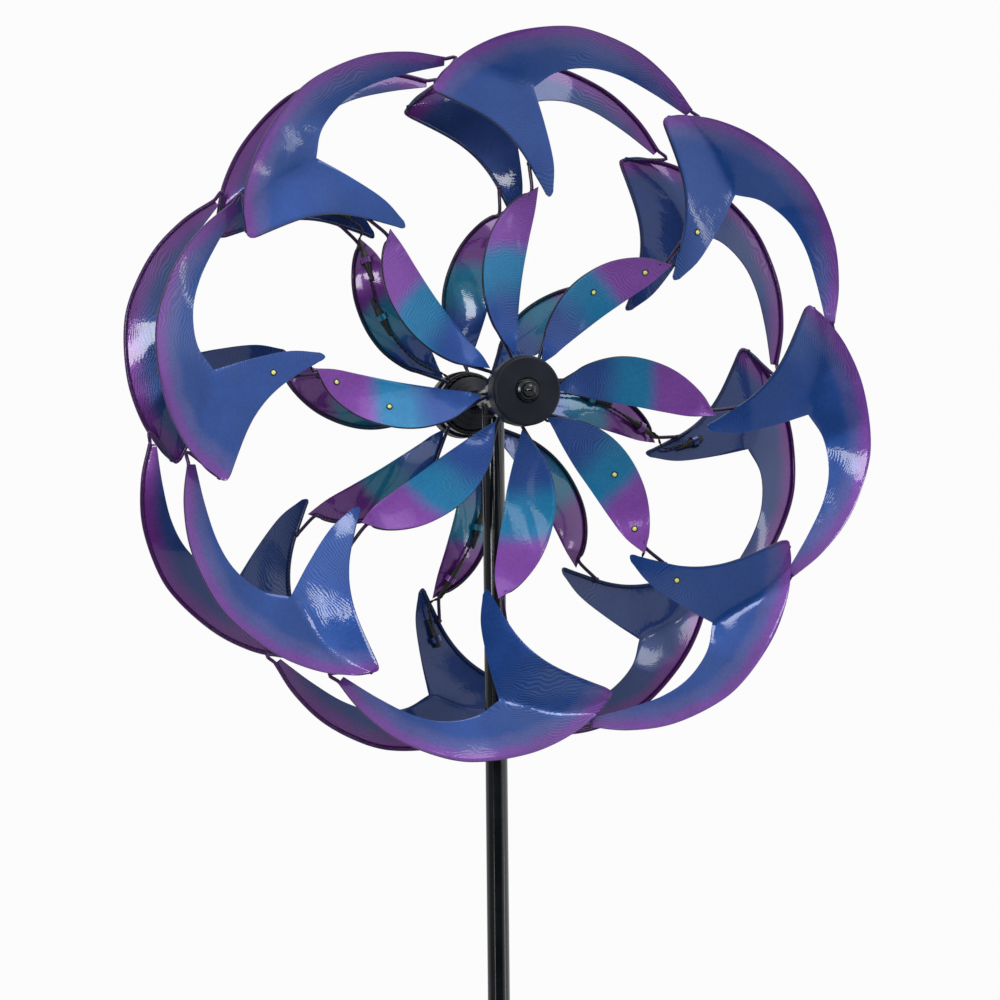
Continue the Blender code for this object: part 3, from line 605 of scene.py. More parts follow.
def lens_plastic(name):
    """Clear epoxy over a pale, finely speckled phosphor."""
    made, tree, shader = nodes_for(name)
    speckle = noise(tree, place_of(tree), 900.0, 2.0)
    share = mapped(tree, speckle, 0.35, 0.65, 0.0, 1.0)
    feed(tree, shader.inputs, {
        "Base Color": blended(tree, share, (0.50, 0.55, 0.10), (0.72, 0.74, 0.24)),
        "Roughness": mapped(tree, speckle, 0.3, 0.7, 0.10, 0.20),
        "Coat Weight": 1.0,
        "Coat Roughness": 0.02,
    })
    return made


def floor_paint(name):
    """Matt pale grey with faint clouds."""
    made, tree, shader = nodes_for(name)
    cloud = noise(tree, place_of(tree), 1.5, 4.0)
    feed(tree, shader.inputs, {
        "Base Color": blended(tree, cloud, (0.50, 0.50, 0.49), (0.56, 0.56, 0.55)),
        "Roughness": 0.8,
    })
    return made


# Maker of each material and what it's given after the name
FINISHES = {
    "leaf_front": (enamel, "leaf", False),
    "leaf_back": (enamel, "leaf", True),
    # The edge and rod enamels are blended towards black by their last number: painted shade
    "leaf_edge": (enamel, "leaf", True, 0.8),
    "leaf_rod": (enamel, "leaf", True, 0.85),
    "blade_front": (enamel, "blade", False),
    "blade_back": (enamel, "blade", True),
    "blade_edge": (enamel, "blade", True, 0.8),
    "blade_rod": (enamel, "blade", True, 0.5),
    "gloss_black": (black_gloss,),
    "hub_satin": (black_gloss, (0.003, 0.005, 0.011), (0.38, 0.50), 0.25, 0.00005, 700.0),
    "wire_black": (black_gloss, (0.003, 0.003, 0.004), (0.35, 0.50), 0.30),
    "boot_black": (black_gloss, (0.003, 0.003, 0.004), (0.35, 0.50), 0.35, 0.00004, 600.0),
    "nylon": (black_gloss, (0.014, 0.014, 0.015), (0.40, 0.55)),
    "turned_steel": (bare_metal, (0.60, 0.60, 0.61), (0.22, 0.38), (1.0, 12.0, 1.0)),
    # Steel made near black: painted shade for the axle between the hubs
    "black_oxide": (bare_metal, (0.045, 0.045, 0.050), (0.25, 0.40), (1.0, 12.0, 1.0)),
    "copper": (bare_metal, (0.72, 0.30, 0.12), (0.25, 0.45), (1.0, 9.0, 1.0)),
    "ferrite": (bare_metal, (0.06, 0.06, 0.065), (0.45, 0.60)),
    "lens": (lens_plastic,),
    "floor": (floor_paint,),
}
MATERIALS = {}


def finish_of(key):
    """The material for a key, made once."""
    if key not in MATERIALS:
        maker, *settings = FINISHES[key]
        MATERIALS[key] = maker(key, *settings)
    return MATERIALS[key]


# ---- mesh building


def outward(model):
    """Makes a shape's faces agree, looking out of it if it is closed."""
    bmesh.ops.recalc_face_normals(model, faces=model.faces)


def placed(name, data):
    """A new object in the scene."""
    obj = bpy.data.objects.new(name, data)
    bpy.context.scene.collection.objects.link(obj)
    return obj


def built(name, model, finishes):
    """A new object from a bmesh."""
    mesh = bpy.data.meshes.new(name)
    model.to_mesh(mesh)
    model.free()
    for key in finishes:
        mesh.materials.append(finish_of(key))
    return placed(name, mesh)


def piece(name, model, finishes, body, stands_for, smooth_angle=SHEET_SMOOTH, bevel=0.0):
    """A finished object that rides on a body, from a bmesh."""
    obj = built(name, model, finishes)
    obj.data.shade_smooth()
    obj.data.set_sharp_from_angle(angle=math.radians(smooth_angle))
    if bevel:
        add_bevel(obj, bevel, smooth_angle).harden_normals = True
    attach(obj, body)
    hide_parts(*stands_for)
    return obj


def add_bevel(obj, width, angle):
    """Rounds the edges that are sharper than an angle."""
    modifier = obj.modifiers.new("Bevel", "BEVEL")
    modifier.width = width
    modifier.segments = 2
    modifier.limit_method = "ANGLE"
    modifier.angle_limit = math.radians(angle)
    return modifier


def value_layers(model):
    """The two distances that the enamel's colours follow."""
    return model.verts.layers.float.new("reach"), model.verts.layers.float.new("rim")


def note_distances(verts, layers, local, line):
    """Notes the distances of a rotor's local point on vertices."""
    reach, rim = layers
    gap = gap_to_line(local, line)
    for vert in verts:
        vert[reach] = math.hypot(local.x, local.z)
        vert[rim] = gap


def skin(model, rows, looped=True, ring=False, caps=False):
    """Faces between rows of vertices, where a row of one vertex is a point on the axis.

    A looped row closes on itself, a ring's last row meets its first, and caps close both ends.
    """
    for lower, upper in zip(rows, rows[1:] + (rows[:1] if ring else [])):
        count = max(len(lower), len(upper))
        for i in range(count if looped else count - 1):
            k = (i + 1) % count
            near = (lower[i % len(lower)], lower[k % len(lower)])
            far = (upper[k % len(upper)], upper[i % len(upper)])
            corners = tuple(dict.fromkeys(near + far))
            if len(corners) > 2:
                model.faces.new(corners)
    if caps:
        model.faces.new(rows[0][::-1])
        model.faces.new(rows[-1])


def sheet(side, kind, number, panels, across, line):
    """A pressed sheet of one spoke, solid, with its own finish on each face and on its cut edge."""
    angle = spoke_angle(side, number)
    model = bmesh.new()
    layers = value_layers(model)
    for panel, steps in zip(panels, across):
        rows = []
        for along in even(panel.stations):
            row = []
            for share in steps:
                local = panel.point(along, share)
                row.append(model.verts.new(in_place(local, side, angle)))
                note_distances(row[-1:], layers, local, line)
            rows.append(row)
        skin(model, rows, looped=False)
    bmesh.ops.remove_doubles(model, verts=model.verts, dist=2e-5)
    bmesh.ops.dissolve_degenerate(model, edges=model.edges, dist=1e-6)
    if kind == "blade":
        for run, reach in ((spline(CREASE, 6), CREASE_REACH), ([*map(polar, FOLD)], FOLD_REACH)):
            soften_fold(model, [in_place(p, side, angle) for p in run], reach)
    outward(model)
    if sum(f.normal.y * f.calc_area() for f in model.faces) * TOWARDS_POLE[side] > 0:
        bmesh.ops.reverse_faces(model, faces=model.faces)
    # The cut edge's finish is darkened towards black: painted shade
    finishes = [f"{kind}_front", f"{kind}_back", f"{kind}_edge"]
    node_name = f"{side}_{kind}_{number}"
    obj = piece(f"{node_name}_sheet", model, finishes, f"{side}_rotor", [node_name])
    solid = obj.modifiers.new("Solidify", "SOLIDIFY")
    solid.thickness = SHEET
    solid.offset = 0.0
    solid.material_offset = 1
    solid.material_offset_rim = 2
    add_bevel(obj, 0.0002, 60)


def soften_fold(model, line, reach, rounds=40, strength=0.6):
    """Rounds the sheet's fold along a line, out to a reach from it, leaving the outline alone."""
    shares = {}
    for vert in model.verts:
        gap = gap_to_line(vert.co, line)
        if not vert.is_boundary and gap < reach:
            shares[vert] = strength * (1 - gap / reach)
    for _ in range(rounds):
        moved = {}
        for vert, share in shares.items():
            around = [edge.other_vert(vert).co for edge in vert.link_edges]
            middle = sum(around, Vector()) / len(around)
            moved[vert] = vert.co.lerp(middle, share)
        for vert, place in moved.items():
            vert.co = place


def tube_rows(model, points, radius, sides):
    """A round tube along points, and its rows of vertices, one for each point."""
    rows = []
    for place, (across, upward) in zip(points, frames_along(points)):
        rows.append([model.verts.new(place + (across * c + upward * s) * radius) for c, s in circle(sides)])
    skin(model, rows, caps=True)
    return rows


def lathe_rows(model, profile, matrix, steps, ring):
    """A turned shape from (radius, height) pairs, whose last pair meets its first if it is a ring."""
    rows = []
    for radius, height in profile:
        spots = circle(1 if radius < ON_AXIS else steps)
        rows.append([model.verts.new(matrix @ Vector((radius * c, radius * s, height))) for c, s in spots])
    skin(model, rows, ring=ring)


def lathe(name, profile, matrix, finish, body, stands_for, ring=True, bevel=0.0003):
    """A turned piece of one finish."""
    model = bmesh.new()
    lathe_rows(model, profile, matrix, ROUND, ring)
    outward(model)
    piece(name, model, [finish], body, stands_for, TURNED_SMOOTH, bevel)


# ---- rotors


def add_sheets(side):
    line = rim_line()
    leaf = [leaf_panel()]
    blade = blade_panels()
    horn_steps = [*even(12)[:-1], 0.955, 0.985, 1.0]
    crown_steps = [0.0, 0.02, 0.06, *even(12)[2:]]
    for number in range(1, BLADES + 1):
        sheet(side, "leaf", number, leaf, [even(14)], line)
        sheet(side, "blade", number, blade, [horn_steps, crown_steps, crown_steps], line)


def spoke_rod_line():
    """Centre line of the rod behind a leaf's convex edge, from the spoke ring to the blade's rod."""
    leaf = leaf_panel()
    start = [polar((NECK_RADIUS + 0.0022, -8.0, 0.0032)), polar((0.0280, -8.5, 0.0030))]
    behind_leaf = [leaf.inset(0, share, ROD_INSET, ROD_DEPTH) for share in even(22)[3:-1]]
    return [*start, *behind_leaf, polar(WELD)]


def blade_rod_line():
    """Centre line of the rod behind a blade's leading and outer edges, on to the next blade."""
    horn_panel, crown, tail = blade_panels()
    points = []
    for panel, rail, first, every in ((horn_panel, 0, 4, 3), (crown, 1, 3, 3), (tail, 1, 2, 4)):
        for i in range(first, panel.stations, every):
            points.append(panel.inset(rail, i / panel.stations, ROD_INSET, ROD_DEPTH))
    points.append(tail.inset(1, 1.0, ROD_INSET, ROD_DEPTH))
    points.append(polar(TAIL_BEND))
    to_next = Matrix.Rotation(math.radians(360 / BLADES), 3, "Y")
    points.append(to_next @ horn_panel.inset(0, 0.9, ROD_INSET, ROD_DEPTH))
    return points


def add_rods(side):
    """The welded rods and the ring round the neck, painted like the sheets they carry."""
    line = rim_line()
    body = f"{side}_rotor"
    stands_for = [f"{side}_spoke_frame"]
    spoke = spline(spoke_rod_line(), 70)
    blade = spline(blade_rod_line(), 190)
    # The rods' enamel is the sheets' pole-side enamel blended towards black: painted shade
    for kind, finish, centre_line in (("spoke", "leaf_rod", spoke), ("blade", "blade_rod", blade)):
        model = bmesh.new()
        layers = value_layers(model)
        for number in range(1, BLADES + 1):
            angle = spoke_angle(side, number)
            rows = tube_rows(model, [in_place(p, side, angle) for p in centre_line], ROD_RADIUS, 10)
            for row, local in zip(rows, centre_line):
                note_distances(row, layers, local, line)
            weld_bead(model, layers, centre_line[-1], side, angle, line)
        outward(model)
        piece(f"{side}_{kind}_rods", model, [finish], body, stands_for, 60.0)
    top = NECK_START - GAP
    inner = NECK_RADIUS + GAP
    profile = [(RING_OUTER, top), (RING_OUTER, RING_BACK), (inner, RING_BACK), (inner, top)]
    at = along_axle(side)
    lathe(f"{side}_spoke_ring", profile, at, "gloss_black", body, stands_for, bevel=0.0006)


def weld_bead(model, layers, local, side, angle, line):
    """A small lumpy bead where two rods meet."""
    made = bmesh.ops.create_icosphere(model, subdivisions=2, radius=1.0)["verts"]
    centre = in_place(local, side, angle)
    for vert in made:
        lump = 1.0 + 0.12 * math.sin(9 * vert.co.x + 5 * vert.co.z)
        vert.co = centre + vert.co * (WELD_RADIUS * lump)
    note_distances(made, layers, local, line)


# ---- LED strings


def led_places():
    """(panel, along, across, direction along the lead) of the LEDs of one lit spoke, hub to rim."""
    leaf = leaf_panel()
    horn_panel = blade_panels()[0]
    places = [(leaf, along, across) for along, across in LEAF_LEDS]
    places.append((horn_panel, *BLADE_LED))
    found = []
    for panel, along, across in places:
        run = panel.point(along + 0.05, across) - panel.point(along - 0.05, across)
        found.append((panel, along, across, run.normalized()))
    return found


def lead_line():
    """Centre line of a lead, from the loom ring through its three LED holders."""
    (leaf, *led_a), (_, *led_b), (horn_panel, *led_c) = [place[:3] for place in led_places()]
    return [
        polar((LOOM_RADIUS, -3.0, LOOM_SETBACK)),
        polar((0.0330, -3.5, LOOM_SETBACK + 0.0012)),
        leaf.behind(0.20, 0.45, HOLDER_DEPTH),
        leaf.behind(0.36, 0.43, HOLDER_DEPTH),
        leaf.behind(*led_a, HOLDER_DEPTH),
        leaf.behind(0.68, 0.50, HOLDER_DEPTH),
        leaf.behind(*led_b, HOLDER_DEPTH),
        leaf.behind(0.93, 0.50, 2.2 * HOLDER_DEPTH),
        horn_panel.behind(0.16, 0.45, 2.0 * HOLDER_DEPTH),
        horn_panel.behind(*led_c, HOLDER_DEPTH),
    ]


def twisted_pair(model, points):
    """Two strands that wind round a line of points."""
    strands = ([], [])
    length = 0.0
    last = points[0]
    for place, (across, upward) in zip(points, frames_along(points)):
        length += (place - last).length
        last = place
        swing = 2 * math.pi * length / TWIST_PITCH
        offset = (across * math.cos(swing) + upward * math.sin(swing)) * STRAND_RADIUS
        strands[0].append(place + offset)
        strands[1].append(place - offset)
    for strand in strands:
        tube_rows(model, strand, STRAND_RADIUS * 1.04, 6)


def add_led_strings(side):
    """The leads, holders, lenses, grommets and clips of the lit spokes, and the loom ring."""
    body = f"{side}_rotor"
    string = [f"{side}_led_string"]
    lead = spline(lead_line(), 260)
    for number in LIT_BLADES[side]:
        angle = spoke_angle(side, number)
        model = bmesh.new()
        twisted_pair(model, [in_place(p, side, angle) for p in lead])
        outward(model)
        piece(f"{side}_lead_{number}", model, ["wire_black"], body, string, 60.0)
        holders = bmesh.new()
        lenses = bmesh.new()
        grommets = bmesh.new()
        for i, place in enumerate(led_places()):
            in_holder = pole_side_frame(*place, HOLDER_DEPTH, side, angle)
            on_sheet = pole_side_frame(*place, 0.0, side, angle)
            eye = on_sheet @ QUARTER_TURN
            lathe_rows(holders, holder_profile(i == LAST_LED), in_holder, 24, False)
            lathe_rows(lenses, lens_profile(), eye, 20, False)
            lathe_rows(grommets, GROMMET, eye, 20, True)
            add_clip(side, number, i, on_sheet, place)
        for name, shape, finish, slot in (
            ("holders", holders, "boot_black", "black_rubber"),
            ("lenses", lenses, "lens", "led_lens"),
            ("grommets", grommets, "boot_black", "black_rubber"),
        ):
            outward(shape)
            piece(f"{side}_{name}_{number}", shape, [finish], body, string, 40.0)
    add_loom(side, string)


def holder_profile(last):
    """A holder with a tapered, ribbed boot on each end, or on its near end only if it is the last."""
    half = HOLDER_LENGTH / 2
    rib = BOOT_LENGTH / BOOT_RIBS
    boot = []
    for i in range(BOOT_RIBS):
        radius = 0.0023 - 0.0011 * i / BOOT_RIBS
        start = half + i * rib
        boot += [(radius, start), (radius * 0.98, start + 0.55 * rib), (radius * 0.86, start + 0.7 * rib)]
    boot.append((0.0, half + BOOT_LENGTH))
    bottom = [(radius, -height) for radius, height in boot]
    body = [(HOLDER_RADIUS - 0.0004, -half), (HOLDER_RADIUS, -half + 0.0006)]
    body += [(HOLDER_RADIUS, half - 0.0006), (HOLDER_RADIUS - 0.0004, half)]
    return [*reversed(bottom), *body, *([(0.0, half)] if last else boot)]


def lens_profile():
    """The LED's domed end, through the sheet and proud of its outward face."""
    profile = [(0.0, -0.0040), (LED_RADIUS, -0.0040), (LED_RADIUS, LENS_DOME)]
    for share in even(5)[1:]:
        swing = math.radians(90 * share)
        profile.append((LED_RADIUS * math.cos(swing), LENS_DOME + LENS_DOME * math.sin(swing)))
    return profile


# The thin dark collar round the LED on the outward face
GROMMET = ((0.0026, 0.0006), (0.0026, 0.0010), (0.0022, 0.0012), (LED_RADIUS, 0.0010), (LED_RADIUS, 0.0006))


def add_clip(side, number, index, matrix, place):
    """The saddle clip over a holder: two feet on the sheet and an arch between them."""
    outer = HOLDER_RADIUS + 0.0002 + CLIP_WALL
    foot = SHEET / 2
    outline = [(-CLIP_REACH, foot), (-outer, foot), (-outer, HOLDER_DEPTH)]
    for share in even(8)[1:-1]:
        swing = math.radians(180 - 180 * share)
        outline.append((outer * math.cos(swing), HOLDER_DEPTH + outer * math.sin(swing)))
    outline += [(outer, HOLDER_DEPTH), (outer, foot), (CLIP_REACH, foot)]
    model = bmesh.new()
    layers = value_layers(model)
    half = CLIP_WIDTH / 2
    rows = []
    for i, (x, y) in enumerate(outline):
        before = Vector(outline[max(i - 1, 0)])
        after = Vector(outline[min(i + 1, len(outline) - 1)])
        run = (after - before).normalized() * CLIP_WALL
        top = (x - run.y, y + run.x)
        corners = ((*top, -half), (x, y, -half), (x, y, half), (*top, half))
        rows.append([model.verts.new(matrix @ Vector(corner)) for corner in corners])
    skin(model, rows, caps=True)
    note_distances(model.verts, layers, place[0].point(*place[1:3]), rim_line())
    outward(model)
    host = "blade" if index == LAST_LED else "leaf"
    piece(
        f"{side}_clip_{number}_{index}", model, [f"{host}_back"], f"{side}_rotor",
        [f"{side}_{host}_{number}"], 50.0, 0.0002,
    )


def add_loom(side, string):
    """The bundle of leads round the neck, three strands twisted together."""
    model = bmesh.new()
    for strand in range(3):
        rows = []
        for share in even(120)[:-1]:
            twist = 2 * math.pi * (strand / 3 + 9 * share)
            local = polar((
                LOOM_RADIUS + LOOM_STRAND * math.cos(twist),
                360 * share,
                LOOM_SETBACK + LOOM_STRAND * math.sin(twist),
            ))
            heading = polar((LOOM_STRAND, 360 * share, 0.0))
            axial = Vector((0, LOOM_STRAND, 0))
            spots = [in_place(local + heading * c + axial * s, side, PHASE[side]) for c, s in circle(6)]
            rows.append([model.verts.new(spot) for spot in spots])
        skin(model, rows, ring=True)
    outward(model)
    piece(f"{side}_loom", model, ["wire_black"], f"{side}_rotor", string, 60.0)


# ---- hubs, axle, pole and stake


def add_hub(side):
    """The drum, cap, ribbed bell and dome nut of one hub."""
    body = f"{side}_rotor"
    at = along_axle(side)
    drum = [
        (HUB_RADIUS, DRUM_FRONT), (HUB_RADIUS, NECK_START), (NECK_RADIUS, NECK_START),
        (NECK_RADIUS, NECK_END), (DRUM_BORE, NECK_END), (DRUM_BORE, DRUM_FRONT),
    ]
    lathe(f"{side}_drum", drum, at, "hub_satin", body, [f"{side}_hub_drum"], bevel=0.0007)
    cap_back = DRUM_FRONT + GAP
    cap = [
        (CAP_BORE, CAP_FACE - 0.0006), (CAP_BORE + 0.0012, CAP_FACE), (CAP_RADIUS - 0.0012, CAP_FACE),
        (CAP_RADIUS, CAP_FACE - 0.0010), (CAP_RADIUS, cap_back), (CAP_BORE, cap_back),
    ]
    lathe(f"{side}_cap", cap, at, "hub_satin", body, [f"{side}_hub_cap"])
    start = NECK_END - GAP
    step_down = (start - BELL_END) / BELL_RIBS
    step_in = (NECK_RADIUS - BELL_TIP) / BELL_RIBS
    bell = []
    for rib in range(BELL_RIBS):
        radius = NECK_RADIUS - rib * step_in
        height = start - rib * step_down
        bell += [(radius, height), (radius, height - 0.6 * step_down), (radius - step_in, height - step_down)]
    bell += [(BELL_BORE, BELL_END), (BELL_BORE, BELL_END + 0.0030), (NECK_RADIUS - 0.0030, start)]
    lathe(f"{side}_bell", bell, at, "hub_satin", body, [f"{side}_hub_bell"], bevel=0.0008)
    face = CAP_FACE + GAP
    nut = []
    for share in even(12):
        swing = math.radians(90 * share)
        nut.append((DOME_RADIUS * math.sin(swing), face + 0.0048 + DOME_RADIUS * math.cos(swing)))
    nut += [(DOME_RADIUS, face + 0.0031), (0.0070, face + 0.0024), (0.0088, face + 0.0020)]
    nut += [(0.0092, face), (0.0, face)]
    lathe(f"{side}_acorn_nut", nut, at, "gloss_black", "head", [f"{side}_dome_nut"], False)


def add_axle():
    """The axle, with a collar behind each hub."""
    low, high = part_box("axle")
    reach = (high.y - low.y) / 2
    collar = reach - 0.0345 - 0.0083
    half = [
        (0.0, reach), (AXLE_RADIUS - 0.0004, reach), (AXLE_RADIUS, reach - 0.0004), (AXLE_RADIUS, collar),
        (0.0060, collar), (0.0060, collar - 0.0030), (AXLE_RADIUS, collar - 0.0030),
    ]
    profile = half + [(radius, -height) for radius, height in reversed(half)]
    at = Matrix.Translation((low + high) / 2) @ QUARTER_TURN
    # The axle's steel is painted near black: painted shade between the hubs
    lathe("axle_shaft", profile, at, "black_oxide", "head", ["axle"], False)


def add_tee():
    """The tee: a barrel along the axle, welded to a post that ends in the spindle in the bush."""
    low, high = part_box("head_tee")
    outer = (high.x - low.x) / 2
    half = (high.y - low.y) / 2
    axle_z = high.z - outer
    bore = AXLE_RADIUS + GAP
    barrel = [
        (bore, half), (outer - 0.0012, half), (outer, half - 0.0012),
        (outer, -half + 0.0012), (outer - 0.0012, -half), (bore, -half),
    ]
    at = Matrix.Translation((0, 0, axle_z)) @ QUARTER_TURN
    lathe("tee_barrel", barrel, at, "gloss_black", "head", ["head_tee"], bevel=0.0004)
    base = axle_z - 0.0140
    post = [
        (0.0, axle_z), (POST_RADIUS - 0.0004, axle_z), (POST_RADIUS, axle_z - 0.0080), (POST_RADIUS, base),
        (SPINDLE_RADIUS, base), (SPINDLE_RADIUS, low.z + 0.0006), (SPINDLE_RADIUS - 0.0006, low.z),
        (0.0, low.z),
    ]
    lathe("tee_post", post, UPRIGHT, "gloss_black", "head", ["head_tee"], False)
    bead = bmesh.new()
    rows = []
    for share, (c, s) in zip(even(96), circle(96)):
        drop = math.sqrt(max(outer ** 2 - (POST_RADIUS * c) ** 2, 0.0))
        middle = Vector((POST_RADIUS * c, POST_RADIUS * s, axle_z - drop))
        lump = 0.0011 * (1 + 0.10 * math.sin(22 * 2 * math.pi * share))
        ring = [Vector((c * across, s * across, up)) * lump for across, up in circle(8)]
        rows.append([bead.verts.new(middle + spot) for spot in ring])
    skin(bead, rows, ring=True)
    outward(bead)
    piece("tee_weld", bead, ["gloss_black"], "head", ["head_tee"], 60.0)


def add_pole():
    """The bush and the three tubes, of which the upper two end in a swage that enters the next."""
    low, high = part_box("swivel_bush")
    lip = high.z - 0.0015
    flange = [
        (0.0090, high.z), (0.0090, lip), (0.0072, lip), (0.0072, low.z), (0.0053, low.z), (0.0053, high.z),
    ]
    lathe("bush", flange, UPRIGHT, "nylon", "pole", ["swivel_bush"])
    for name in ("pole_top", "pole_middle", "pole_base"):
        low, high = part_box(name)
        radius = (high.x - low.x) / 2
        inner = radius - POLE_WALL
        end = low.z if name == "pole_base" else low.z + SWAGE
        profile = [(radius - 0.0004, high.z), (radius, high.z - 0.0005), (radius, end + 0.0012)]
        profile.append((radius - 0.0006, end))
        if name == "pole_base":
            profile.append((inner, end))
        else:
            swaged = inner - GAP
            bore = swaged - POLE_WALL
            step = end + POLE_WALL
            profile += [(swaged, end), (swaged, low.z), (bore, low.z), (bore, step), (inner, step)]
        profile.append((inner, high.z))
        lathe(f"{name}_tube", profile, UPRIGHT, "gloss_black", "pole", [name], bevel=0.0002)


def add_stake():
    """The socket, its foot bar and four prongs, welded together."""
    low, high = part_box("ground_stake")
    stake = ["ground_stake"]
    socket = [
        (0.0120, 0.0030), (0.0120, high.z - 0.0012), (0.0113, high.z), (0.0096, high.z),
        (0.0093, high.z - 0.0006), (0.0093, 0.0057), (0.0, 0.0057), (0.0, 0.0030),
    ]
    lathe("stake_socket", socket, UPRIGHT, "gloss_black", "pole", stake, False)
    bar = bmesh.new()
    size = Matrix.Diagonal((high.x - low.x, high.y - low.y, FOOT_BAR, 1.0))
    bmesh.ops.create_cube(bar, size=1.0, matrix=Matrix.Translation((0, 0, FOOT_BAR / 2)) @ size)
    corners = [e for e in bar.edges if abs(e.verts[0].co.z - e.verts[1].co.z) > FOOT_BAR / 2]
    bmesh.ops.bevel(bar, geom=corners, offset=0.008, segments=6, affect="EDGES", profile=0.5)
    piece("stake_foot_bar", bar, ["gloss_black"], "pole", stake, bevel=0.0006)
    prongs = bmesh.new()
    prong = [
        (0.0, 0.0010), (0.0050, 0.0010), (0.0050, low.z + 0.0320), (0.0046, low.z + 0.0280),
        (0.0012, low.z + 0.0012), (0.0, low.z),
    ]
    bead = [(0.0049, -0.0022), (0.0062, -0.0014), (0.0070, 0.0002), (0.0, 0.0002), (0.0, -0.0022)]
    for x in PRONG_PLACES:
        for profile in (prong, bead):
            lathe_rows(prongs, profile, Matrix.Translation((x, 0, 0)), 28, False)
    outward(prongs)
    piece("stake_prongs", prongs, ["gloss_black"], "pole", stake)
    weld = [(0.0118, 0.0075), (0.0128, 0.0064), (0.0150, 0.0045), (0.0155, 0.0038), (0.0118, 0.0038)]
    lathe("stake_socket_weld", weld, UPRIGHT, "gloss_black", "pole", stake, bevel=0.0)
    add_thumb_screw()


def add_thumb_screw():
    """The clamp screw: a shank and a knob with a fluted grip."""
    low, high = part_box("clamp_screw")
    height = (low.z + high.z) / 2
    at = Matrix.Translation((0, 0, height)) @ Matrix.Rotation(math.radians(90), 4, "Y")
    start = high.x - KNOB_LENGTH
    model = bmesh.new()
    rows = []
    for level, factor in ((0.0, 0.90), (0.0006, 1.0), (0.0068, 1.0), (KNOB_LENGTH, 0.86)):
        row = []
        for share, (c, s) in zip(even(96), circle(96)):
            flute = 0.5 + 0.5 * math.cos(KNOB_FLUTES * 2 * math.pi * share)
            radius = KNOB_RADIUS * factor * (1 - 0.07 * flute)
            row.append(model.verts.new(at @ Vector((radius * c, radius * s, start + level))))
        rows.append(row)
    skin(model, rows, caps=True)
    lathe_rows(model, [(0.0, start), (0.0030, start), (0.0030, low.x), (0.0, low.x)], at, 24, False)
    outward(model)
    piece("thumb_screw", model, ["gloss_black"], "pole", ["clamp_screw"])


def finish_hidden_nodes():
    """Procedural finishes for the CAD nodes that stay as they are, inside the hubs."""
    for side in SIDES:
        for part, key in (
            ("outer_bearing", "turned_steel"),
            ("inner_bearing", "turned_steel"),
            ("coil_ring", "copper"),
            ("magnet_disc", "ferrite"),
        ):
            obj = frame["nodes"][f"{side}_{part}"]
            obj.data.materials.clear()
            obj.data.materials.append(finish_of(key))


# ---- studio


CAMERA_PLACE = Vector((-0.823, -3.235, 1.414))
CAMERA_YAW = math.radians(14.36)
CAMERA_PITCH = math.radians(1.76)
CAMERA_ROLL = math.radians(-0.58)
FOCAL_TO_WIDTH = 4.082

# Brightness of the background that the camera sees, and the walls that only light and reflections see:
# the axis a wall stands on, where it begins and is full along the view direction, and its brightness
BACKDROP = 0.97
WALLS = (("X", 0.30, 0.95, 1.3), ("X", -0.45, -0.90, 0.25), ("Y", 0.0, 0.4, 0.7))

# Name, place, height of the point on the pole's line that it faces, size in metres and power in watts
SOFTBOXES = (
    ("right_strip", (2.59, -2.34, 1.36), 1.6, (0.16, 0.24), 0.9),
    ("left_strip", (-1.80, -3.00, 1.86), 1.6, (0.90, 0.45), 15),
    ("left_gleam", (-1.26, -1.18, 1.62), 1.6, (0.25, 0.40), 3.6),
    ("over_camera", (-0.54, -3.40, 1.95), 1.6, (0.60, 0.50), 10),
    ("key", (0.4, -1.5, 4.5), 1.6, (2.0, 2.0), 44),
    ("low_right_strip", (3.03, -1.75, 0.72), 1.0, (0.35, 0.66), 3.4),
    ("low_left_strip", (-2.64, -2.30, 0.72), 1.0, (0.30, 0.66), 2.4),
)
FLOOR_RADIUS = 4.0
FLOOR_LEVEL = -0.0006


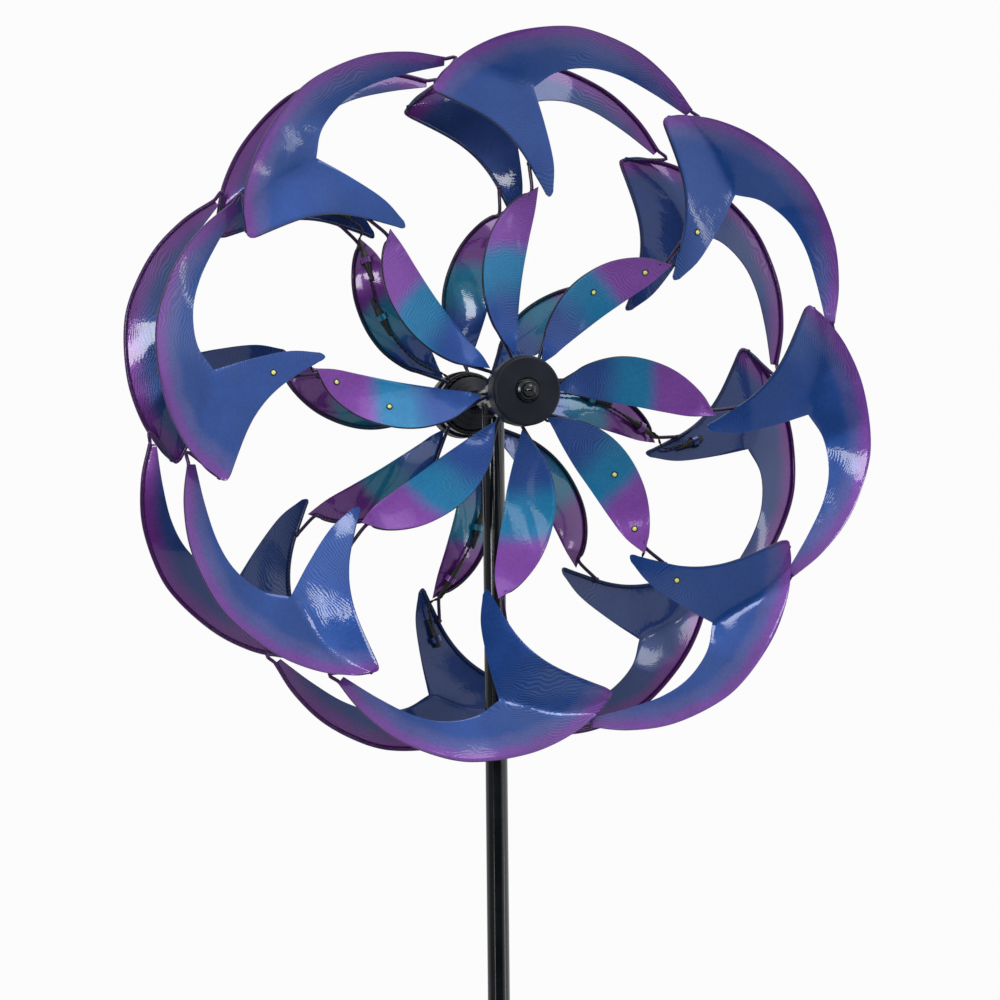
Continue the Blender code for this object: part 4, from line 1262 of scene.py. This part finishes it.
def add_camera():
    """A camera at the photograph's viewing angle."""
    forward = Vector((
        math.sin(CAMERA_YAW) * math.cos(CAMERA_PITCH),
        math.cos(CAMERA_YAW) * math.cos(CAMERA_PITCH),
        math.sin(CAMERA_PITCH),
    ))
    level = Vector((math.cos(CAMERA_YAW), -math.sin(CAMERA_YAW), 0))
    upward = level.cross(forward)
    right = math.cos(CAMERA_ROLL) * level + math.sin(CAMERA_ROLL) * upward
    top = math.cos(CAMERA_ROLL) * upward - math.sin(CAMERA_ROLL) * level
    data = bpy.data.cameras.new("photo_camera")
    data.sensor_width = 36.0
    data.lens = data.sensor_width * FOCAL_TO_WIDTH
    camera = placed("photo_camera", data)
    rotation = Matrix((right, top, -forward)).transposed().to_4x4()
    camera.matrix_world = Matrix.Translation(CAMERA_PLACE) @ rotation
    bpy.context.scene.camera = camera


def add_softbox(name, place, facing, size, power):
    """A rectangular light that faces a height on the pole's line."""
    data = bpy.data.lights.new(name, "AREA")
    data.shape = "RECTANGLE"
    data.size, data.size_y = size
    data.energy = power
    light = placed(name, data)
    light.location = place
    light.rotation_mode = "QUATERNION"
    light.rotation_quaternion = (Vector((0, 0, facing)) - Vector(place)).to_track_quat("-Z", "Y")


def add_studio():
    """A pale tent, dark towards the ground, with softboxes that give the enamel its highlights."""
    bpy.context.scene.view_settings.view_transform = "Standard"
    world = bpy.data.worlds.new("studio")
    bpy.context.scene.world = world
    world.use_nodes = True
    tree = world.node_tree
    parts = node(tree, "ShaderNodeSeparateXYZ")
    tree.links.new(node(tree, "ShaderNodeTexCoord").outputs["Generated"], parts.inputs[0])
    level = mapped(tree, parts.outputs["Z"], -0.08, 0.32, 0.06, 0.85, True)
    ground = mapped(tree, parts.outputs["Z"], -0.65, -0.25, 0.0, 1.0, True)
    for axis, start, end, brightness in WALLS:
        wall = mapped(tree, parts.outputs[axis], start, end, 0.0, brightness, True)
        level = maths(tree, "MAXIMUM", level, maths(tree, "MULTIPLY", wall, ground))
    seen = node(tree, "ShaderNodeLightPath").outputs["Is Camera Ray"]
    mixed = node(tree, "ShaderNodeMix", data_type="FLOAT")
    feed(tree, mixed.inputs, {0: seen, 2: level, 3: BACKDROP})
    tree.links.new(mixed.outputs[0], tree.nodes["Background"].inputs["Color"])
    for softbox in SOFTBOXES:
        add_softbox(*softbox)
    model = bmesh.new()
    bmesh.ops.create_circle(model, cap_ends=True, segments=96, radius=FLOOR_RADIUS)
    floor = built("floor", model, ["floor"])
    floor.location = (0, 0, FLOOR_LEVEL)


def main():
    add_camera()
    for side in SIDES:
        add_sheets(side)
        add_rods(side)
        add_led_strings(side)
        add_hub(side)
    add_axle()
    add_tee()
    add_pole()
    add_stake()
    finish_hidden_nodes()
    add_studio()


main()
